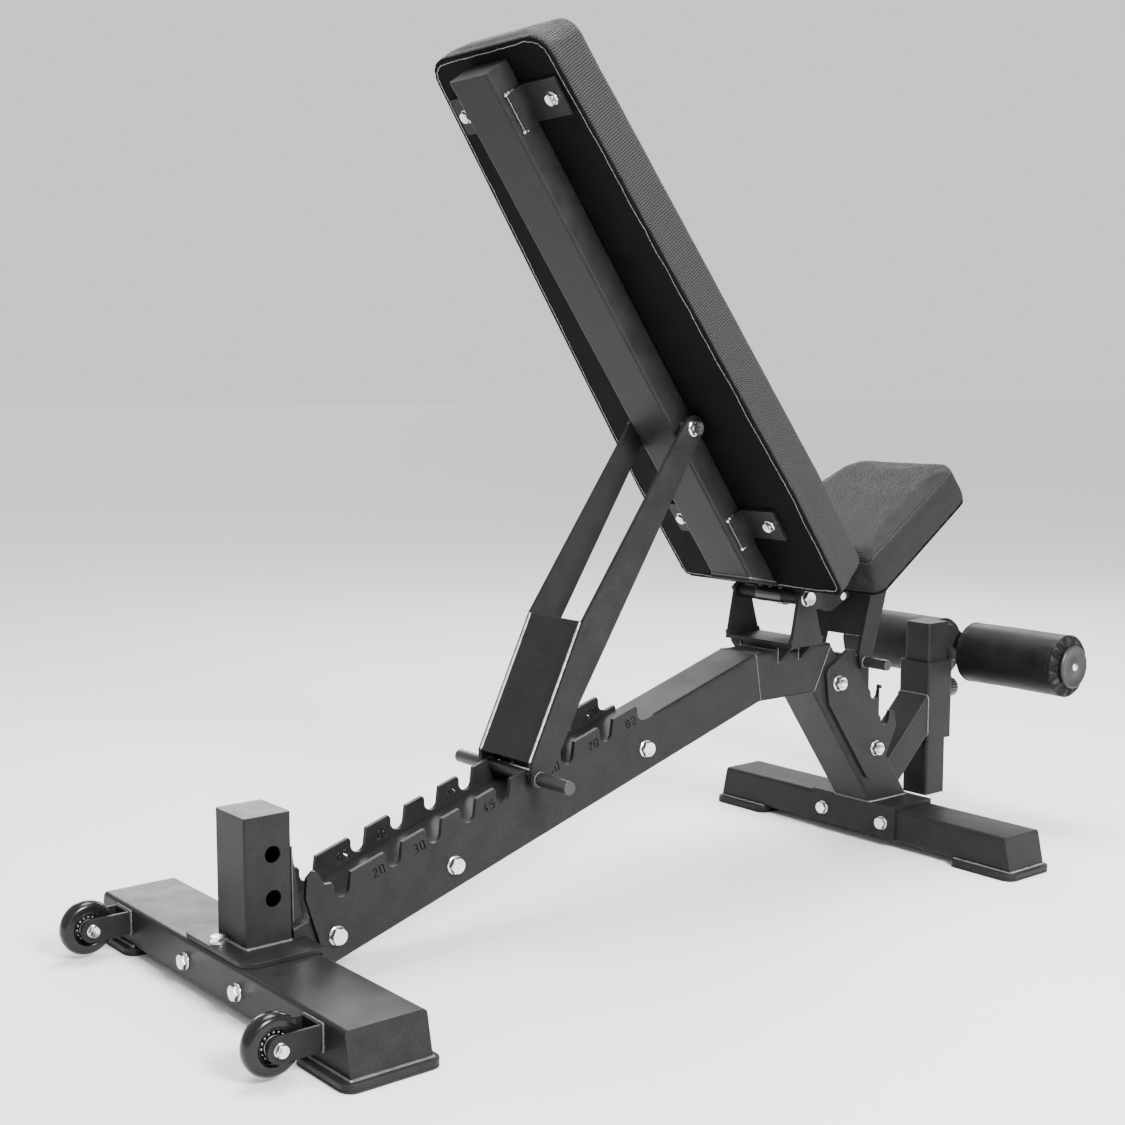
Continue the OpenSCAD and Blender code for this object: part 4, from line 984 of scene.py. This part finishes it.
def front_welds(seat, lever, carriage):
    for lo, hi, s, y in tabs("seat_tabs", seat_at, 1.2 * MM):
        line(seat, [(lo[0], y, lo[2]), (hi[0], y, lo[2])], 1.4 * MM, 18, seat_at)
    lo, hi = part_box("seat_lever")
    for s in (-1, 1):
        hoop(lever, centre("seat_rod"), s * hi.y, 8.2 * MM, 1.2 * MM, 19)
    lo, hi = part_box("roller_post")
    x = centre("sleeve_liners").x + 24 * MM + 0.3 * MM
    for s in (-1, 1):
        y = s * POST_HALF
        line(carriage, [(x, y, hi.z - 42 * MM), (x, y, hi.z - 6 * MM)], 1.5 * MM, 20)


def tab_dots(b):
    """Weld dots at the ends of the backrest's tabs, coloured light grey as a painted highlight."""
    for lo, hi, s, y in tabs("back_tabs", back_at, 1.5 * MM):
        for x in (lo[0], hi[0]):
            for z, r in ((lo[2] - 1 * MM, 2.8), (lo[2] + 4 * MM, 2.2)):
                line(b, [(x - 3 * MM, y, z), (x + 3 * MM, y + s * MM, z)], r * MM, 21, back_at, pitch=1.9)


welds = {body: Batch() for body in ("frame", "backrest", "seat", "seat_lever_body", "roller_carriage")}
dots, rod, prop = Batch(), Batch(), Batch()
frame_welds(welds["frame"])
backrest_welds(welds["backrest"])
prop_welds(prop, rod)
front_welds(welds["seat"], welds["seat_lever_body"], welds["roller_carriage"])
tab_dots(dots)
# The tab dots and the prop's welds carry the light grey painted highlight
dots.done("tab_weld_dots", "backrest", "powder_coat", material=weld_painted_highlight, smooth=50)
rod.done("weld_beads_rod", "prop", "powder_coat", material=weld_painted_sheen, smooth=50)
prop.done("weld_beads_prop", "prop", "powder_coat", material=weld_painted_highlight, smooth=50)
# The frame's and the parts' beads carry the mid grey painted sheen
for body, b in welds.items():
    b.done(f"weld_beads_{body}", body, "powder_coat", material=weld_painted_sheen, smooth=50)


# ---- Angle numbers cut through the ladder plates ----

# Each figure's strokes on a grid 4 wide and 7.5 high
STROKES = {
    "0": [((0.5, 0), (4, 0)), ((4, 0.9), (4, 6.6)), ((3.5, 7.5), (0, 7.5)), ((0, 6.6), (0, 0.9))],
    "2": [((0, 6.3), (0.8, 7.5)), ((0.8, 7.5), (3.2, 7.5)), ((4, 6.6), (4, 4.8)), ((3.6, 4.2), (0.2, 0.6)),
          ((0, 0), (4, 0))],
    "3": [((0, 7.5), (3.4, 7.5)), ((4, 6.8), (4, 4.6)), ((1.2, 3.9), (3.4, 3.9)), ((4, 3.2), (4, 0.8)),
          ((3.3, 0), (0, 0))],
    "4": [((3, 7.5), (0, 2.6)), ((0, 2.2), (4, 2.2)), ((3, 3.4), (3, 0))],
    "5": [((4, 7.5), (0.4, 7.5)), ((0, 7), (0, 4.4)), ((0.6, 4.2), (3.2, 4.2)), ((4, 3.6), (4, 0.8)),
          ((3.3, 0), (0, 0))],
    "6": [((3.6, 7.5), (1, 7.5)), ((0, 6.8), (0, 0.8)), ((0.8, 0), (3.2, 0)), ((4, 0.8), (4, 3.2)),
          ((3.2, 4), (0.9, 4))],
    "7": [((0, 7.5), (4, 7.5)), ((3.9, 6.7), (1.4, 0))],
    "8": [((0.8, 7.5), (3.2, 7.5)), ((4, 6.8), (4, 4.6)), ((0, 6.8), (0, 4.6)), ((1, 3.9), (3, 3.9)),
          ((4, 3.2), (4, 0.8)), ((0, 3.2), (0, 0.8)), ((0.8, 0), (3.2, 0))],
}
# Each number and how far behind the hinge its notch lies, in millimetres
LABELS = [("20", 692.3), ("30", 634.0), ("45", 528.5), ("60", 424.4), ("70", 358.1), ("82", 292.6)]
SLOPE = math.radians(17.7)
SCALE, PITCH, STROKE_R = 1.4 * MM, 7.4, 0.85 * MM  # of the figures: grid unit, spacing and half a stroke
ABOVE = 46 * MM  # from the slope through the knee up to the middle of the figures


def engraved(node, side):
    """Rebuilds one ladder plate with the numbers cut through beside its notches."""
    lo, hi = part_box(node)
    ahead, up = np.array([math.cos(SLOPE), math.sin(SLOPE)]), np.array([-math.sin(SLOPE), math.cos(SLOPE)])
    knee = np.array([HINGE.x - 66 * MM, HINGE.z - 113 * MM])
    cut = Batch()
    for text, back in LABELS:
        run = (HINGE.x - (back + 22) * MM - knee[0]) / math.cos(SLOPE)
        mid = knee + ahead * (run + ABOVE * math.tan(SLOPE)) + up * ABOVE
        for k, ch in enumerate(text):
            for p, q in STROKES[ch]:
                p, q = np.array(p) * SCALE, np.array(q) * SCALE
                a = math.atan2(q[1] - p[1], q[0] - p[0])
                ring = []
                for c, base in ((q, a - math.pi / 2), (p, a + math.pi / 2)):
                    for t in np.linspace(base, base + math.pi, 7):
                        u = c[0] + STROKE_R * math.cos(t) + (k * PITCH - 5.7) * SCALE
                        w = c[1] + STROKE_R * math.sin(t) - 3.75 * SCALE
                        ring.append(mid + ahead * (u if side < 0 else -u) + up * w)
                ring = np.array(ring)
                cut.rings([np.c_[ring[:, 0], np.full(14, y), ring[:, 1]] for y in (lo.y - MM, hi.y + MM)])
    me = bpy.data.meshes.new("cutter")
    me.from_pydata(np.concatenate(cut.v).tolist(), [], cut.f)
    bm = bmesh.new()
    bm.from_mesh(me)
    bmesh.ops.recalc_face_normals(bm, faces=bm.faces)
    bm.to_mesh(me)
    bm.free()
    # The walls of the cuts take the painted shade, which stands in for the shade inside them
    me.materials.append(painted_shade)
    tool = bpy.data.objects.new("cutter", me)
    scene.collection.objects.link(tool)
    plate = bpy.data.objects.new(node + "_numbered", nodes[node].data.copy())
    scene.collection.objects.link(plate)
    plate.modifiers.new("weld", "WELD").merge_threshold = MERGE
    c = plate.modifiers.new("cut", "BOOLEAN")
    c.object, c.solver, c.use_self, c.material_mode = tool, "EXACT", True, "TRANSFER"
    applied(plate)
    bpy.data.objects.remove(tool)
    soften(plate, 0.5 * MM)
    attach(plate, body_of[node])
    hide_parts(node)


engraved("ladder_plate_left", 1)
engraved("ladder_plate_right", -1)


# ---- Floor, light and camera ----

def aimed(name, data, direction, at=(0, 0, 0)):
    """Adds an object that looks along a direction."""
    o = bpy.data.objects.new(name, data)
    scene.collection.objects.link(o)
    o.location = at
    o.rotation_euler = Vector(direction).to_track_quat("-Z", "Y").to_euler()
    return o


def lamp(name, energy, size, at, target):
    data = bpy.data.lights.new(name, "AREA")
    data.energy, data.size = energy, size
    aimed(name, data, Vector(target) - Vector(at), at).visible_camera = False


plane = bpy.data.meshes.new("floor")
plane.from_pydata([(-40, -40, 0), (40, -40, 0), (40, 40, 0), (-40, 40, 0)], [], [(0, 1, 2, 3)])
floor = bpy.data.objects.new("floor", plane)
scene.collection.objects.link(floor)
plane.materials.append(shader("pale_floor", (0.8, 0.8, 0.8), 0.8, Specular_IOR_Level=0.1)[0])

world = bpy.data.worlds.new("studio")
world.use_nodes = True
world.node_tree.nodes["Background"].inputs["Color"].default_value = (1, 1, 1, 1)
world.node_tree.nodes["Background"].inputs["Strength"].default_value = 1.0
scene.world = world

lamp("key", 380, 1.1, (-0.4, -3.3, 2.3), (0, 0, 0.45))
lamp("top", 170, 1.6, (0.2, 0.2, 3.1), (0, 0, 0.3))
lamp("rim", 35, 1.0, (2.6, 1.6, 2.0), (0.2, 0, 0.5))
sun = bpy.data.lights.new("back", "SUN")
sun.energy, sun.angle = 1.7, 0.55
aimed("back", sun, (-3.7, -9.0, -3.0))

cam = bpy.data.cameras.new("camera")
cam.lens, cam.sensor_width = 52.6, 36
view = bpy.data.objects.new("camera", cam)
scene.collection.objects.link(view)
view.location = (-1.489, -1.669, 0.710)
view.rotation_euler = (math.radians(90 - 6.29), 0, math.radians(-38.91))
scene.camera = view
